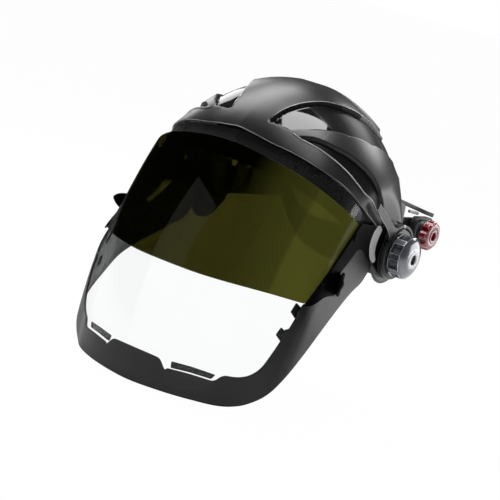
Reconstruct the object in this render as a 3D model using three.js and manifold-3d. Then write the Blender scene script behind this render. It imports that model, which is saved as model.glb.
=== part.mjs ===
// Flip-front face shield: ribbed crown cover, wrap-round clear window, chin guard, flip-up shade
// visor and a ratchet headgear, as separate solids. Millimetres and degrees, +Z up, +X the
// wearer's left, -Y the way the wearer looks. Shapes are worked out about the pivot axis, which
// runs along X through the side knobs; the assembly is then lifted to stand on Z = 0.
import * as THREE from 'three';
import { mergeVertices } from 'three/addons/utils/BufferGeometryUtils.js';
import Module from 'manifold-3d';

const wasm = await Module();
wasm.setup();
const { Manifold, Mesh } = wasm;

const SIDES = [['left', 1], ['right', -1]];
const BOLT_R = 3.0;
const HOLE_R = 3.08;              // running fit of every pivoting piece on the bolt
const BOLT_HOLE = [0, 0, HOLE_R];

// ---------------------------------------------------------------- general helpers
const rad = Math.PI / 180;
const smooth = (value) => {
  const t = Math.min(1, Math.max(0, value));
  return t * t * (3 - 2 * t);
};

// Looks x up in a table of [x, value] rows, held level beyond its ends.
function lookUp(x, table) {
  if (x <= table[0][0]) return table[0][1];
  for (let i = 1; i < table.length; i++) {
    const [x0, value0] = table[i - 1];
    const [x1, value1] = table[i];
    if (x <= x1) return value0 + (value1 - value0) * (x - x0) / (x1 - x0);
  }
  return table[table.length - 1][1];
}

// A Manifold from points and triangles, turned right side out if need be.
function solid(verts, tris) {
  const corner = (i) => new THREE.Vector3(...verts[i]);
  const signedVolume = tris.reduce(
    (sum, [a, b, c]) => sum + corner(a).dot(corner(b).cross(corner(c))), 0);
  const outward = signedVolume < 0 ? tris.map(([a, b, c]) => [a, c, b]) : tris;
  const vertProperties = new Float32Array(verts.flat());
  const triVerts = new Uint32Array(outward.flat());
  return new Manifold(new Mesh({ numProp: 3, vertProperties, triVerts }));
}

function fromGeometry(geometry) {
  geometry.deleteAttribute('normal');
  geometry.deleteAttribute('uv');
  const merged = mergeVertices(geometry, 1e-4);
  const position = merged.attributes.position;
  const verts = [];
  const tris = [];
  for (let i = 0; i < position.count; i++) {
    verts.push([position.getX(i), position.getY(i), position.getZ(i)]);
  }
  for (let i = 0; i < merged.index.count; i += 3) {
    const [a, b, c] = [0, 1, 2].map((k) => merged.index.getX(i + k));
    if (a !== b && b !== c && c !== a) tris.push([a, b, c]);
  }
  return solid(verts, tris);
}

function toArrays(manifold) {
  const { vertProperties, triVerts, numProp } = manifold.getMesh();
  const verts = [];
  const tris = [];
  for (let i = 0; i < vertProperties.length; i += numProp) {
    verts.push([...vertProperties.slice(i, i + 3)]);
  }
  for (let i = 0; i < triVerts.length; i += 3) tris.push([...triVerts.slice(i, i + 3)]);
  return { verts, tris };
}

function toGeometry(manifold) {
  const { verts, tris } = toArrays(manifold);
  const geometry = new THREE.BufferGeometry();
  geometry.setAttribute('position', new THREE.BufferAttribute(new Float32Array(verts.flat()), 3));
  geometry.setIndex(tris.flat());
  geometry.computeVertexNormals();
  return geometry;
}

// ---------------------------------------------------------------- outlines
const arc = (r, from, to, steps, centreY = 0, centreZ = 0) =>
  Array.from({ length: steps + 1 }, (_, i) => {
    const angle = (from + (to - from) * i / steps) * rad;
    return [centreY + r * Math.cos(angle), centreZ + r * Math.sin(angle)];
  });
const ellipse = (x, y, radiusX, radiusY, count) => Array.from({ length: count }, (_, i) => {
  const angle = 2 * Math.PI * i / count;
  return [x + radiusX * Math.cos(angle), y + radiusY * Math.sin(angle)];
});
const roundedRect = (y0, y1, z0, z1, r, steps) => [
  ...arc(r, -90, 0, steps, y1 - r, z0 + r), ...arc(r, 0, 90, steps, y1 - r, z1 - r),
  ...arc(r, 90, 180, steps, y0 + r, z1 - r), ...arc(r, 180, 270, steps, y0 + r, z0 + r)];

// ---------------------------------------------------------------- solids
// A side of -1 mirrors a solid to the wearer's right.
const toVectors = (points) => points.map(([x, y]) => new THREE.Vector2(x, y));

function extrude(outline, depth, holes = []) {
  const shape = new THREE.Shape(toVectors(outline));
  for (const hole of holes) shape.holes.push(new THREE.Path(toVectors(hole)));
  return new THREE.ExtrudeGeometry(shape, { depth, bevelEnabled: false });
}

// Profiles are lists of [place along the axis, radius]; the axis comes out along Y.
const lathe = (profile, segments) => new THREE.LatheGeometry(
  profile.map(([along, radius]) => new THREE.Vector2(radius, along)), segments);

// A solid of revolution about X whose profile starts and ends on the axis.
function turnX(profile, segments, { y = 0, z = 0, side = 1 } = {}) {
  const geometry = lathe(profile, segments);
  geometry.rotateZ(-Math.PI / 2);
  geometry.scale(side, 1, 1);
  geometry.translate(0, y, z);
  return fromGeometry(geometry);
}
// A ring about X, from a profile clear of the axis.
const ringX = (profile, segments, placing) =>
  turnX([...profile, profile[0]], segments, placing);
const rodX = (x0, x1, r, segments, placing) =>
  turnX([[x0, 0], [x0, r], [x1, r], [x1, 0]], segments, placing);

// A flat plate between two X values: outline of [y, z], round holes of [y, z, r, segments].
function plateX(outline, x0, x1, { holes = [], side = 1 } = {}) {
  const rings = holes.map(([y, z, r, segments = 20]) => ellipse(y, z, r, r, segments));
  const geometry = extrude(outline, x1 - x0, rings);
  const position = geometry.attributes.position;
  for (let i = 0; i < position.count; i++) {
    const x = (position.getZ(i) + x0) * side;
    position.setXYZ(i, x, position.getX(i), position.getY(i));
  }
  return fromGeometry(geometry);
}

// A strip of rectangular section swept through stations {at, across, out}: across is the
// direction of its width, out that of its thickness. Width may be a function of 0 to 1.
function ribbon(stations, width, thickness) {
  const verts = [];
  const tris = [];
  stations.forEach(({ at, across, out }, i) => {
    const full = typeof width === 'function' ? width(i / (stations.length - 1)) : width;
    for (const [a, b] of [[-1, -1], [1, -1], [1, 1], [-1, 1]]) {
      verts.push(at.map((x, k) => x + across[k] * a * full / 2 + out[k] * b * thickness / 2));
    }
  });
  const last = 4 * (stations.length - 1);
  for (let start = 0; start < last; start += 4) {
    for (let k = 0; k < 4; k++) {
      const a = start + k;
      const b = start + (k + 1) % 4;
      tris.push([a, b, b + 4], [a, b + 4, a + 4]);
    }
  }
  tris.push([0, 2, 1], [0, 3, 2], [last, last + 1, last + 2], [last, last + 2, last + 3]);
  return solid(verts, tris);
}

// Triangles of a two-skinned slab on a grid of cells; vertices run by column, row, then skin
// (0 inner, 1 outer). rising(i, j) says which diagonal splits a cell.
function slabTriangles(cols, rows, rising) {
  const tris = [];
  const id = (i, j, skin) => (i * (rows + 1) + j) * 2 + skin;
  for (let i = 0; i < cols; i++) for (let j = 0; j < rows; j++) for (let skin = 0; skin < 2; skin++) {
    const a = id(i, j, skin);
    const b = id(i + 1, j, skin);
    const c = id(i + 1, j + 1, skin);
    const d = id(i, j + 1, skin);
    const pair = rising(i, j) ? [[a, b, c], [a, c, d]] : [[a, b, d], [b, c, d]];
    for (const [p, q, r] of pair) tris.push(skin ? [p, q, r] : [p, r, q]);
  }
  const wall = (a, b) => tris.push([a, b, b + 1], [a, b + 1, a + 1]);
  for (let i = 0; i < cols; i++) {
    wall(id(i, 0, 0), id(i + 1, 0, 0));
    wall(id(i + 1, rows, 0), id(i, rows, 0));
  }
  for (let j = 0; j < rows; j++) {
    wall(id(0, j + 1, 0), id(0, j, 0));
    wall(id(cols, j, 0), id(cols, j + 1, 0));
  }
  return tris;
}

// ---------------------------------------------------------------- the window surface
// phi is the angle round the front; past 90 the side runs straight back, 1 mm per unit.
// h is the height on the leaning shell axis, d the distance outside the mid surface.
const SHELL_TILT = 19;            // the window leans forward at its foot
const SHELL_HALF_WIDTH = 97.46;   // at the widest level
const SHELL_WIDEST_H = -8.053;
const SHELL_NARROWING = 0.0002557; // loss of half width per square mm of height from there
const SHELL_FRONT = -137.94;      // front at the flattest level
const SHELL_BULGE = 14.8;         // extra forward bow, greatest at BULGE_H, nil BULGE_REACH away
const BULGE_H = -70;
const BULGE_REACH = 105;
const SHELL_DEPTH = 67.61;        // depth of the curved front, before the straight sides
const SHELL_POWER = 2 / 2.02;     // superellipse of the front, nearly a plain ellipse
const SHELL_TAPER = 4.5;          // how far the arms come in towards the pivots
const TAPER_LENGTH = 54;
const ARM_BOW = 22;               // how far the arms bow out and forward below the pivots
const BOW_DIRECTION = [0.477, -0.85, 0.22]; // on the left side

const bowDirection = (side) => [BOW_DIRECTION[0] * side, BOW_DIRECTION[1], BOW_DIRECTION[2]];
const cosTilt = Math.cos(SHELL_TILT * rad);
const sinTilt = Math.sin(SHELL_TILT * rad);
const curveStart = (h) =>
  SHELL_FRONT - SHELL_BULGE * (1 - ((h - BULGE_H) / BULGE_REACH) ** 2) + SHELL_DEPTH;

function shellPoint(phi, h, d) {
  const side = Math.sign(phi);
  const angle = Math.min(90, Math.abs(phi)) * rad;
  const straight = Math.max(0, Math.abs(phi) - 90);
  const taper = smooth(straight / TAPER_LENGTH);
  const halfWidth = SHELL_HALF_WIDTH - SHELL_NARROWING * (h - SHELL_WIDEST_H) ** 2 * (1 - taper);
  const x = (halfWidth + d) * Math.sin(angle) ** SHELL_POWER - SHELL_TAPER * taper;
  const y = curveStart(h) - (SHELL_DEPTH + d) * Math.abs(Math.cos(angle)) ** SHELL_POWER + straight;
  const leaning = [side * x, y * cosTilt + h * sinTilt, -y * sinTilt + h * cosTilt];
  const bow = ARM_BOW * smooth((Math.abs(phi) - 55) / 50) * smooth((-30 - h) / 70);
  return leaning.map((value, k) => value + bowDirection(side)[k] * bow);
}

// [phi, h] of a point on the straight side, from its y in the leaning frame
const onStraightSide = ([y, h]) => [90 + y - curveStart(h), h];

// ---------------------------------------------------------------- sheets on the window surface
// Grid lines fall at the same places on every sheet, so that nested sheets are faceted alike.
const GRID_PHI = { step: 11.4, offset: 0.137 };
const GRID_H = { step: 20, offset: 0.271 };

// Jitter keeps the flat slab's skins from being coplanar, so the grid survives the cutting.
let seed = 7;
function jitter() {
  seed = (seed * 16807) % 2147483647;
  return seed / 2147483647;
}

// A point on the facets that the grid spans. Each cell is split into two right triangles;
// corner (i, j) is the right angle of the one that holds the point.
function onFacet(phi, h, d) {
  const u = (phi - GRID_PHI.offset) / GRID_PHI.step;
  const v = (h - GRID_H.offset) / GRID_H.step;
  const col = Math.floor(u);
  const row = Math.floor(v);
  const s = u - col;
  const t = v - row;
  const rising = (col + row) & 1;
  const i = Number(rising ? s >= t : s + t > 1);
  const j = rising ? 1 - i : i;
  const gridPoint = (p, q) => shellPoint(
    GRID_PHI.offset + (col + p) * GRID_PHI.step, GRID_H.offset + (row + q) * GRID_H.step, d);
  const corner = gridPoint(i, j);
  const alongPhi = gridPoint(1 - i, j);
  const alongH = gridPoint(i, 1 - j);
  return corner.map((x, k) =>
    x + Math.abs(s - i) * (alongPhi[k] - x) + Math.abs(t - j) * (alongH[k] - x));
}

function gridSpan(values, { step, offset }) {
  const margin = 0.4;
  const first = Math.floor((Math.min(...values) - margin - offset) / step);
  const last = Math.ceil((Math.max(...values) + margin - offset) / step);
  const count = last - first;
  const low = first * step + offset;
  const high = last * step + offset;
  return { first, count, at: (i) => low + (high - low) * i / count };
}

// Cut flat as a slab of [phi, h, 0 to 10], then bent onto the shell between two distances.
function sheet(outline, [innerD, outerD], holes = []) {
  const cols = gridSpan(outline.map(([phi]) => phi), GRID_PHI);
  const rows = gridSpan(outline.map(([, h]) => h), GRID_H);
  const verts = [];
  for (let i = 0; i <= cols.count; i++) for (let j = 0; j <= rows.count; j++) {
    verts.push([cols.at(i), rows.at(j), jitter()]);
    verts.push([cols.at(i), rows.at(j), 10 - jitter()]);
  }
  const rising = (i, j) => (i + j + cols.first + rows.first) & 1;
  const prism = (polygon) => fromGeometry(extrude(polygon, 20).translate(0, 0, -5));
  let slab = solid(verts, slabTriangles(cols.count, rows.count, rising));
  slab = slab.intersect(prism(outline));
  for (const hole of holes) slab = slab.subtract(prism(hole));
  const flat = toArrays(slab);
  return solid(flat.verts.map(([phi, h, w]) => onFacet(phi, h, w < 5 ? innerD : outerD)), flat.tris);
}

// A whole outline from its left half, listed from one centre point to the other.
const mirrored = (half) => [
  ...half, ...half.slice().reverse().filter(([phi]) => phi > 1e-6).map(([phi, h]) => [-phi, h])];
const onSide = (polygon, side) =>
  (side > 0 ? polygon : polygon.map(([phi, h]) => [-phi, h]).reverse());

// A round hole of radius r mm, as [phi, h]
function surfaceHole(phi, h, r, count) {
  const mmPerUnit = Math.abs(phi) > 90 ? 1
    : rad * Math.hypot(SHELL_HALF_WIDTH * Math.cos(phi * rad), SHELL_DEPTH * Math.sin(phi * rad));
  return ellipse(phi, h, r / mmPerUnit, r, count);
}

// A headed pin on the shell, turned about a line halfway between the surface normal and the
// line of its hole. The profile runs outward from the mid surface.
function pinOn(phi, h, profile) {
  const at = (...place) => new THREE.Vector3(...shellPoint(...place));
  const axis = at(phi + 1, h, 0).sub(at(phi - 1, h, 0))
    .cross(at(phi, h + 1, 0).sub(at(phi, h - 1, 0))).normalize();
  axis.add(at(phi, h, 8).sub(at(phi, h, 0)).normalize()).normalize();
  const geometry = lathe(profile, 8);
  geometry.applyQuaternion(
    new THREE.Quaternion().setFromUnitVectors(new THREE.Vector3(0, 1, 0), axis));
  geometry.translate(...onFacet(phi, h, 0));
  return fromGeometry(geometry);
}

// ---------------------------------------------------------------- crown cover
// alpha is the angle off the middle plane, beta the angle up and over from the front.
const CROWN = { a: 112.2, b: 114.1, c: 132.8, y: -40.2, z: -11.8 }; // half axes x y z, centre
const CROWN_T = 2.1;
const BRIM_EDGE_T = 1.5;
const RECESS_DEPTH = 3.4;
const CROWN_COLS = 34;
const CROWN_ROWS = 10;
// limit on the radius about the pivot axis at the front: [x, radius]
const FRONT_SWEEP = [
  [0, 146.1], [8, 145.7], [16, 144.9], [24, 143.7], [32, 141.9], [40, 139.5], [48, 136.7],
  [60, 131], [112, 131]];
// lower edge of the brim and rear edge of the cover, centre to side: [alpha, beta]
const BRIM_DIR = [
  [0, 41.7], [9.2, 41], [17.3, 40.9], [24.3, 41.5], [31.2, 42.4], [36.5, 43.2], [41.5, 44.4],
  [46.8, 46.2], [51.9, 48.8], [56.9, 51.9], [62.3, 56], [66.5, 63.8], [70.6, 78.7],
  [73.2, 110.9], [72, 130]];
const REAR_DIR = [
  [0, 127], [7, 126.5], [13.5, 125.5], [20, 123.5], [26, 121.5], [31.5, 120], [36.5, 119],
  [41, 118.5], [45, 119], [48.2, 121.5], [50.8, 126], [53.2, 132], [55.4, 139], [56.4, 147],
  [56.5, 156]];
// the brim edge's own points, one for each row of BRIM_DIR: [x, y, z]
const BRIM_EDGE = [
  [0, -125, 75.9], [17.9, -124.5, 73.6], [33.4, -122.4, 70.9], [46.4, -118.6, 69],
  [59.3, -113.6, 66.2], [68.5, -108.9, 63.3], [76.6, -103.1, 60], [84.2, -95.9, 55.9],
  [90.3, -87.7, 51.3], [94.6, -78.9, 45.7], [98.2, -69.7, 39.2], [98.9, -59.6, 34.1],
  [98.4, -47.2, 28.5], [97.6, -29.5, 20.7], [97.1, -19.6, 16.8]];
// rib edges: [beta, alpha]
const CENTRE_RIB = [
  [49.9, 10.4], [58.2, 12.4], [64.2, 14.7], [70.3, 17.2], [80, 21.4], [89.5, 25.3],
  [100.3, 26.5], [115, 27], [135, 27]];
const SIDE_RIB_TOP = [
  [49.7, 18.7], [56.7, 25.2], [63.8, 32.2], [72.2, 39.1], [89.4, 44.8], [110, 44.5],
  [122.5, 42], [135, 40]];
const SIDE_RIB_BOTTOM = [
  [49, 22.3], [56.7, 28.6], [66.2, 36.8], [72.9, 46.8], [78.5, 54.5], [85.2, 60.6],
  [101, 68.3], [120, 71.5]];
// top line of the brim: [alpha, beta]
const BRIM_TOP = [
  [0, 46.5], [4.8, 47], [18.7, 49.7], [25.5, 49.5], [37.1, 52.8], [44.7, 55.5], [52.1, 58.6],
  [59.8, 63.4], [68.8, 84.1], [71.8, 114.4]];

const softMin = (a, b, blend) => 0.5 * (a + b - Math.sqrt((a - b) ** 2 + blend * blend));
const softMax = (a, b, blend) => -softMin(-a, -b, blend);

// The ellipsoid, kept outside a least x and inside a greatest x that both follow the distance
// from the pivot axis, and inside the sweep at the front.
function crownBase(alpha, beta) {
  const y = CROWN.y - CROWN.b * Math.cos(alpha * rad) * Math.cos(beta * rad);
  const z = CROWN.z + CROWN.c * Math.cos(alpha * rad) * Math.sin(beta * rad);
  const r = Math.hypot(y, z);
  let x = CROWN.a * Math.sin(alpha * rad);
  x = softMax(x, 85 - 4.5 * Math.max(0, r - 72), 3);
  x = softMin(x, 97.2 + 0.05 * (r - 25), 1.5);
  const inFront = y < -60 && x < 60;
  const scale = inFront ? softMin(r, lookUp(x, FRONT_SWEEP), 1.2) / r : 1;
  return [x, y * scale, z * scale];
}

// Depth of the panels sunk above and below the side rib
function recess(alpha, beta) {
  const aboveBrim = beta - lookUp(alpha, BRIM_TOP);
  const upper = smooth((alpha - lookUp(beta, CENTRE_RIB)) / 2.2)
    * smooth((lookUp(beta, SIDE_RIB_TOP) - alpha) / 9) * smooth(aboveBrim / 4);
  const lower = beta < 118
    ? smooth((alpha - lookUp(beta, SIDE_RIB_BOTTOM)) / 6) * smooth(aboveBrim / 2.5) : 0;
  return RECESS_DEPTH * Math.max(upper, lower * 0.85);
}

// u runs from -1 (right) to 1 (left), v from 0 (brim) to 1 (rear edge).
function crownPoint(u, v) {
  const place = Math.abs(u) * (BRIM_DIR.length - 1);
  const row = Math.min(BRIM_DIR.length - 2, Math.floor(place));
  const mix = (table) => table[row].map((x, k) => x + (table[row + 1][k] - x) * (place - row));
  const brim = mix(BRIM_DIR);
  const rear = mix(REAR_DIR);
  const edge = mix(BRIM_EDGE);
  const [alpha, beta] = brim.map((angle, k) => angle + (rear[k] - angle) * v);
  const brimBase = crownBase(...brim);
  const pull = Math.max(0, 1 - v / 0.35) ** 2;   // draws the surface onto the brim edge
  const [x, y, z] = crownBase(alpha, beta).map((q, k) => q + (edge[k] - brimBase[k]) * pull);
  return { point: new THREE.Vector3(Math.sign(u) * x, y, z), dip: recess(alpha, beta) };
}

function crownShell() {
  const grid = Array.from({ length: CROWN_COLS + 1 }, (_, i) =>
    Array.from({ length: CROWN_ROWS + 1 }, (_, j) =>
      crownPoint(2 * i / CROWN_COLS - 1, (j / CROWN_ROWS) ** 0.9)));
  const middle = new THREE.Vector3(0, -40, 0);
  const pointAt = (i, j) => grid[i][j].point.clone();
  const outward = (i, j) => {
    const alongU = pointAt(Math.min(CROWN_COLS, i + 1), j).sub(pointAt(Math.max(0, i - 1), j));
    const alongV = pointAt(i, Math.min(CROWN_ROWS, j + 1)).sub(pointAt(i, Math.max(0, j - 1)));
    const normal = alongU.cross(alongV).normalize();
    return normal.dot(pointAt(i, j).sub(middle)) < 0 ? normal.negate() : normal;
  };
  const verts = [];
  for (let i = 0; i <= CROWN_COLS; i++) for (let j = 0; j <= CROWN_ROWS; j++) {
    const normal = outward(i, j);
    const outer = pointAt(i, j).addScaledVector(normal, -grid[i][j].dip);
    const inner = outer.clone().addScaledVector(normal, -(j === 0 ? BRIM_EDGE_T : CROWN_T));
    verts.push(inner.toArray(), outer.toArray());
  }
  return solid(verts, slabTriangles(CROWN_COLS, CROWN_ROWS, () => true));
}

// The ribbed shell, cut clear round the pivots, with an ear plate joined on each side
function crownCover() {
  const ear = [
    ...arc(20, 195, 345, 12), [20, 6], [17, 26], [15, 46], [10, 49], [-22, 49], [-27, 44],
    [-24, 22], [-20.4, 4]];
  let cover = crownShell();
  for (const [, side] of SIDES) {
    cover = cover.subtract(rodX(93.8, 112, 25.8, 40, { side }));
    cover = cover.add(plateX(ear, 91.2, 93.4, { holes: [BOLT_HOLE], side }));
  }
  return cover;
}

// ---------------------------------------------------------------- window, chin guard and visor
// distances outside the window's mid surface: [inner face, outer face]
const WINDOW_T = 1.5;
const WINDOW_D = [-WINDOW_T / 2, WINDOW_T / 2];
const BAND_D = [-3.0, -1.05];
const CLIP_D = [-2.9, -1.05];
const CHIN_D = [1.05, 3.05];
const LENS_D = [3.4, 4.8];
const CARRIER_D = [5.1, 6.8];
const CHIN_EAR_R = 24;
const CARRIER_EAR_R = 22.5;
const GRIP_LENGTH = 33;

// All outlines are the left half: [phi, h].
const BRIM_LOWER_EDGE = [
  [0, 31], [20, 27.2], [37.5, 25.6], [51.8, 23.2], [59.8, 21.6], [67.9, 19.95], [76, 17.5],
  [87, 14.4], [98, 12.8], [111, 11.6], [130, 10]];
const brimH = (phi) => lookUp(Math.abs(phi), BRIM_LOWER_EDGE);
const underBrim = (phis, gap) => phis.map((phi) => [phi, brimH(phi) - gap]);
const SIDE_PHIS = [98, 87, 76, 67.9, 59.8, 51.8];
const FRONT_PHIS = [37.5, 28, 20, 10, 0];

const WINDOW_HALF = [
  [0, -189], [30, -185], [50, -179], [66, -170.5], [78, -159], [88, -146], [98, -131],
  [108, -113], [116, -95], [121, -78], [121, -62], [118, -40], [114, -15], [112, 2],
  ...underBrim([108], 3), ...underBrim([...SIDE_PHIS, ...FRONT_PHIS], 1.6)];
const BAND_HALF = [
  [0, 4], [30, 2.5], [60, -2], [84, -8], [104, -12],
  ...underBrim([107], 2), ...underBrim(SIDE_PHIS, 1.4), ...underBrim(FRONT_PHIS, 0.6)];
// lower edge, round the pivot ear, then down the arm's front edge and along the chin's top
const CHIN_HALF = [
  [0, -192.1], [14.9, -190.5], [28.8, -188.1], [42.5, -184.6], [50, -182.6], [57.7, -179.4],
  [66.1, -174.2], [73, -168.2], [81.4, -160], [89.6, -149.7], [100.6, -135], [113.2, -113.4],
  [123.5, -93.3], [133.8, -73.2], [141.5, -57], [147.5, -45.5], [154, -37.5],
  ...arc(CHIN_EAR_R, -128, 160, 18).map(onStraightSide),
  [118, -8], [112.5, -24], [104, -42], [96, -58], [87.5, -75], [86.3, -77.4], [81.6, -79.5],
  [79.4, -88], [80.8, -90.7], [79.1, -102.8], [76.4, -104], [75.3, -110], [77, -112],
  [75.5, -120.8], [74, -127.5], [71.5, -138.5], [68, -145.3], [63.5, -150.7], [57.5, -155],
  [49.4, -157.9], [45.9, -165.4], [32.1, -167.8], [20, -171], [19.1, -173], [14.7, -166.1],
  [0, -166.2]];
const LENS_HALF = [
  [0, -94.9], [16.6, -94.2], [29.5, -91.9], [43.3, -88.4], [57.7, -84.5], [69.5, -81.9],
  [80, -79.6], [84.5, -76], [88.5, -60], [93, -30],
  [95, -1], [78, 2], [62.2, 5.4], [46.9, 9.7], [32.2, 12.9], [17.3, 14.9], [10, 16.2], [0, 17]];
// front edge, lower limb, upper limb's lower edge, round the pivot ear, upper edge
const CARRIER = [
  [92.5, 1.6], [91.5, -8], [88.5, -30], [84.5, -55], [79, -80.6], [80.1, -81.4],
  [85.5, -78.4], [90, -73], [95.5, -66.9], [102, -64.2], [108.5, -61.5], [113, -58.5],
  [117.3, -54.1], [119.6, -50.6], [118.8, -47.2], [112, -44.3], [104, -43.4],
  [101.3, -42.8], [106.9, -29.7], [110.1, -18.2], [116.2, -15.3], [133.2, -13.3],
  [146, -16.5], [152, -19.3],
  ...arc(CARRIER_EAR_R, -112, 140, 16).map(onStraightSide),
  [146, 16], [138, 13.8], [130, 11.3], [118, 8], [105, 4.2]];

// window studs: [name, phi]
const STUDS = [
  ['centre', 0], ['left_inner', 36], ['left_outer', 70], ['right_inner', -36],
  ['right_outer', -70]];
const STUD_PROFILE = [[-5.9, 0], [-5.9, 2.9], [-4.4, 3.7], [-4.4, 1.6], [0.6, 1.6], [0.6, 0]];
const studH = (phi) => brimH(phi) - 7;
const studHoles = STUDS.map(([, phi]) => surfaceHole(phi, studH(phi), 3, 9));

// rivets between lens and carriers: [name, phi, h, hole radius]
const LENS_RIVETS = [['upper', 94.6, -12, 2.3], ['lower', 86.6, -62, 3]];
const RIVET_PROFILE = [
  [3.35, 0], [3.35, 1.7], [7.15, 1.7], [7.15, 3.4], [7.9, 2.5], [7.9, 0]];
const rivetHoles = (side) =>
  LENS_RIVETS.map(([, phi, h, r]) => surfaceHole(side * phi, h, r, 10));

// clips on the inside of the chin guard: [name, phi, h, width in phi, height]
const CHIN_CLIPS = [
  ['centre', 0, -178, 22, 9], ['left_front', 38, -176, 13, 7], ['right_front', -38, -176, 13, 7]];
// clips standing a little proud of the arm's front edge: [name, outline]
const ARM_CLIPS = [
  ['upper', [[79.2, -80.5], [77.4, -90], [84, -93], [86, -83]]],
  ['lower', [[75.2, -103.5], [73.2, -112.5], [80, -116], [82, -106]]]];

const boreForBolt = (piece, side) => piece.subtract(rodX(92, 104, HOLE_R, 20, { side }));
const chinGuard = () => boreForBolt(boreForBolt(sheet(mirrored(CHIN_HALF), CHIN_D), 1), -1);

// The carrier, with a round-ended grip tab standing forward and out from its lower limb
function visorCarrier(side) {
  const plate = boreForBolt(sheet(onSide(CARRIER, side), CARRIER_D, rivetHoles(side)), side);
  const gripRoot = shellPoint(side * 113, -50, 6.0);
  const stations = Array.from({ length: 9 }, (_, i) => ({
    at: gripRoot.map((x, k) => x + GRIP_LENGTH * i / 8 * bowDirection(side)[k]),
    across: [0, 0, 1],
    out: [0.872 * side, 0.489, 0],
  }));
  return plate.add(ribbon(stations, (t) => 20 * Math.sqrt(1.02 - t * t), 3));
}

function chinClip(phi, h, width, height) {
  const corners = [[-1, -1], [1, -1], [1, 1], [-1, 1]].map(([a, b]) =>
    [phi + a * width / 2, h + b * height / 2]);
  return sheet(corners.map(([p, q]) => [p, q - Math.abs(p) * 0.02]), CLIP_D);
}

// ---------------------------------------------------------------- pivots
const KNOB_R = 18.5;
const KNOB_BACK_X = 106.5;
const KNOB_FACE_X = 122;
const KNOB_POCKETS = 8;
const DRUM_R = 22.5;
const DRUM_X = [101.7, 106.2];
const SHROUD_R = 25.8;
const SHROUD_INNER_R = 23.3;

const HEADBAND_X = 78.5;
const HEADBAND_Z = 13;            // height of the bands at the sides
// rivets from bracket to headband: [name, y]
const BRACKET_RIVETS = [['front', -8], ['rear', 35]];
const BRACKET_HOLE_R = 1.9;

// Washer between the chin guard's and the carrier's ears, toothed along its lower front
function indexPlate(side) {
  const teeth = [];
  for (let angle = 196; angle <= 316; angle += 8) {
    teeth.push([28.2 * Math.cos(angle * rad), 28.2 * Math.sin(angle * rad)]);
    teeth.push([25.6 * Math.cos((angle + 4) * rad), 25.6 * Math.sin((angle + 4) * rad)]);
  }
  return plateX([...teeth, ...arc(15, 320, 550, 18)], 96.35, 97.7, { holes: [BOLT_HOLE], side });
}

// A web on the bolt, a wall standing out over the top of the drum, and a long forward blade
function pivotShroud(side) {
  const web = [...arc(SHROUD_R, 16, 145, 14), ...arc(23.2, 150, 374, 18)];
  const wall = [...arc(SHROUD_R, 20, 145, 14), ...arc(SHROUD_INNER_R, 150, 20, 14)];
  const blade = [
    ...arc(SHROUD_R, 95, 118, 3), [-17.3, 23.6], [-30, 31], [-43.7, 38.6], [-53, 43.5],
    [-55, 38], [-45, 31], [-31, 22.6], [-22, 15.5], ...arc(SHROUD_INNER_R, 150, 95, 6)];
  return plateX(web, 100.3, 101.4, { holes: [BOLT_HOLE], side })
    .add(plateX(wall, 100.3, 105.4, { side }))
    .add(plateX(blade, 104.3, 105.7, { side }));
}

function knobBase(side) {
  const [back, front] = DRUM_X;
  return ringX([
    [back, HOLE_R], [back, DRUM_R - 0.8], [back + 0.8, DRUM_R - 0.2], [front - 1, DRUM_R - 0.6],
    [front, DRUM_R - 1.8], [front, HOLE_R]], 28, { side });
}

// Knob with grip pockets round its side
function tensionKnob(side) {
  let knob = ringX([
    [KNOB_BACK_X, HOLE_R], [KNOB_BACK_X, KNOB_R - 0.6], [KNOB_BACK_X + 0.6, KNOB_R],
    [116.6, KNOB_R - 0.5], [118.6, KNOB_R - 1.8], [120.8, 14.6], [121.6, 7.9],
    [KNOB_FACE_X, 7.5], [KNOB_FACE_X, 4.3], [118.9, 4.3], [118.9, HOLE_R]], 28, { side });
  for (let k = 0; k < KNOB_POCKETS; k++) {
    const pocket = new THREE.BoxGeometry(9.2, 4, 8.6);
    pocket.translate(112.2 * side, KNOB_R - 0.2, 0);
    pocket.rotateX((k + 0.5) * 360 / KNOB_POCKETS * rad);
    knob = knob.subtract(fromGeometry(pocket));
  }
  return knob;
}

const pivotBolt = (side) => turnX([
  [83.2, 0], [83.2, 5.2], [84.2, 6.2], [86.2, 6.2], [86.2, BOLT_R], [118.2, BOLT_R],
  [118.6, 2.5], [118.6, 0]], 14, { side });

// An ear on the bolt, a block stepping inward behind it, and a foot riveted to the headband
function pivotBracket(side) {
  const ear = [...arc(15, 110, 395, 20), [20, 6], [27, 6], [27, 20], [12, 20]];
  const step = new THREE.BoxGeometry(88.3 - 80, 27 - 20.5, 20 - 6);
  step.translate(side * (80 + 88.3) / 2, (20.5 + 27) / 2, (6 + 20) / 2);
  const holes = BRACKET_RIVETS.map(([, y]) => [y, HEADBAND_Z, BRACKET_HOLE_R, 12]);
  return plateX(ear, 86.4, 88.3, { holes: [BOLT_HOLE], side })
    .add(fromGeometry(step))
    .add(plateX(roundedRect(-13, 40, 5, 21, 4, 4), 79.9, 82, { holes, side }));
}

const bracketRivet = (side, y) => turnX([
  [77.3, 0], [77.3, 1.5], [82.3, 1.5], [82.3, 3], [83, 2.4], [83.2, 0]],
12, { y, z: HEADBAND_Z, side });

// ---------------------------------------------------------------- headgear bands
const BROW_RISE = 46;             // the headband's front sits this much higher than its sides
const FRONT_DEPTH = 84;
const SWEATBAND_INSET = 4.6;
const REARBAND_X = 75.9;
const REAR_START_Y = 88;
const REAR_DEPTH = 26;
const NAPE_DROP = 40;
const NAPE_INSET = 4.2;
const DIAL = { y: 68, z: 14.5, r: 13.5, x0: 91.7, x1: 100 };
const SHAFT_R = 2.5;
const PINION_PITCH_R = 4.5;
const PINION_TEETH = 9;
const RACK_PITCH = 2 * Math.PI * PINION_PITCH_R / PINION_TEETH;

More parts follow.
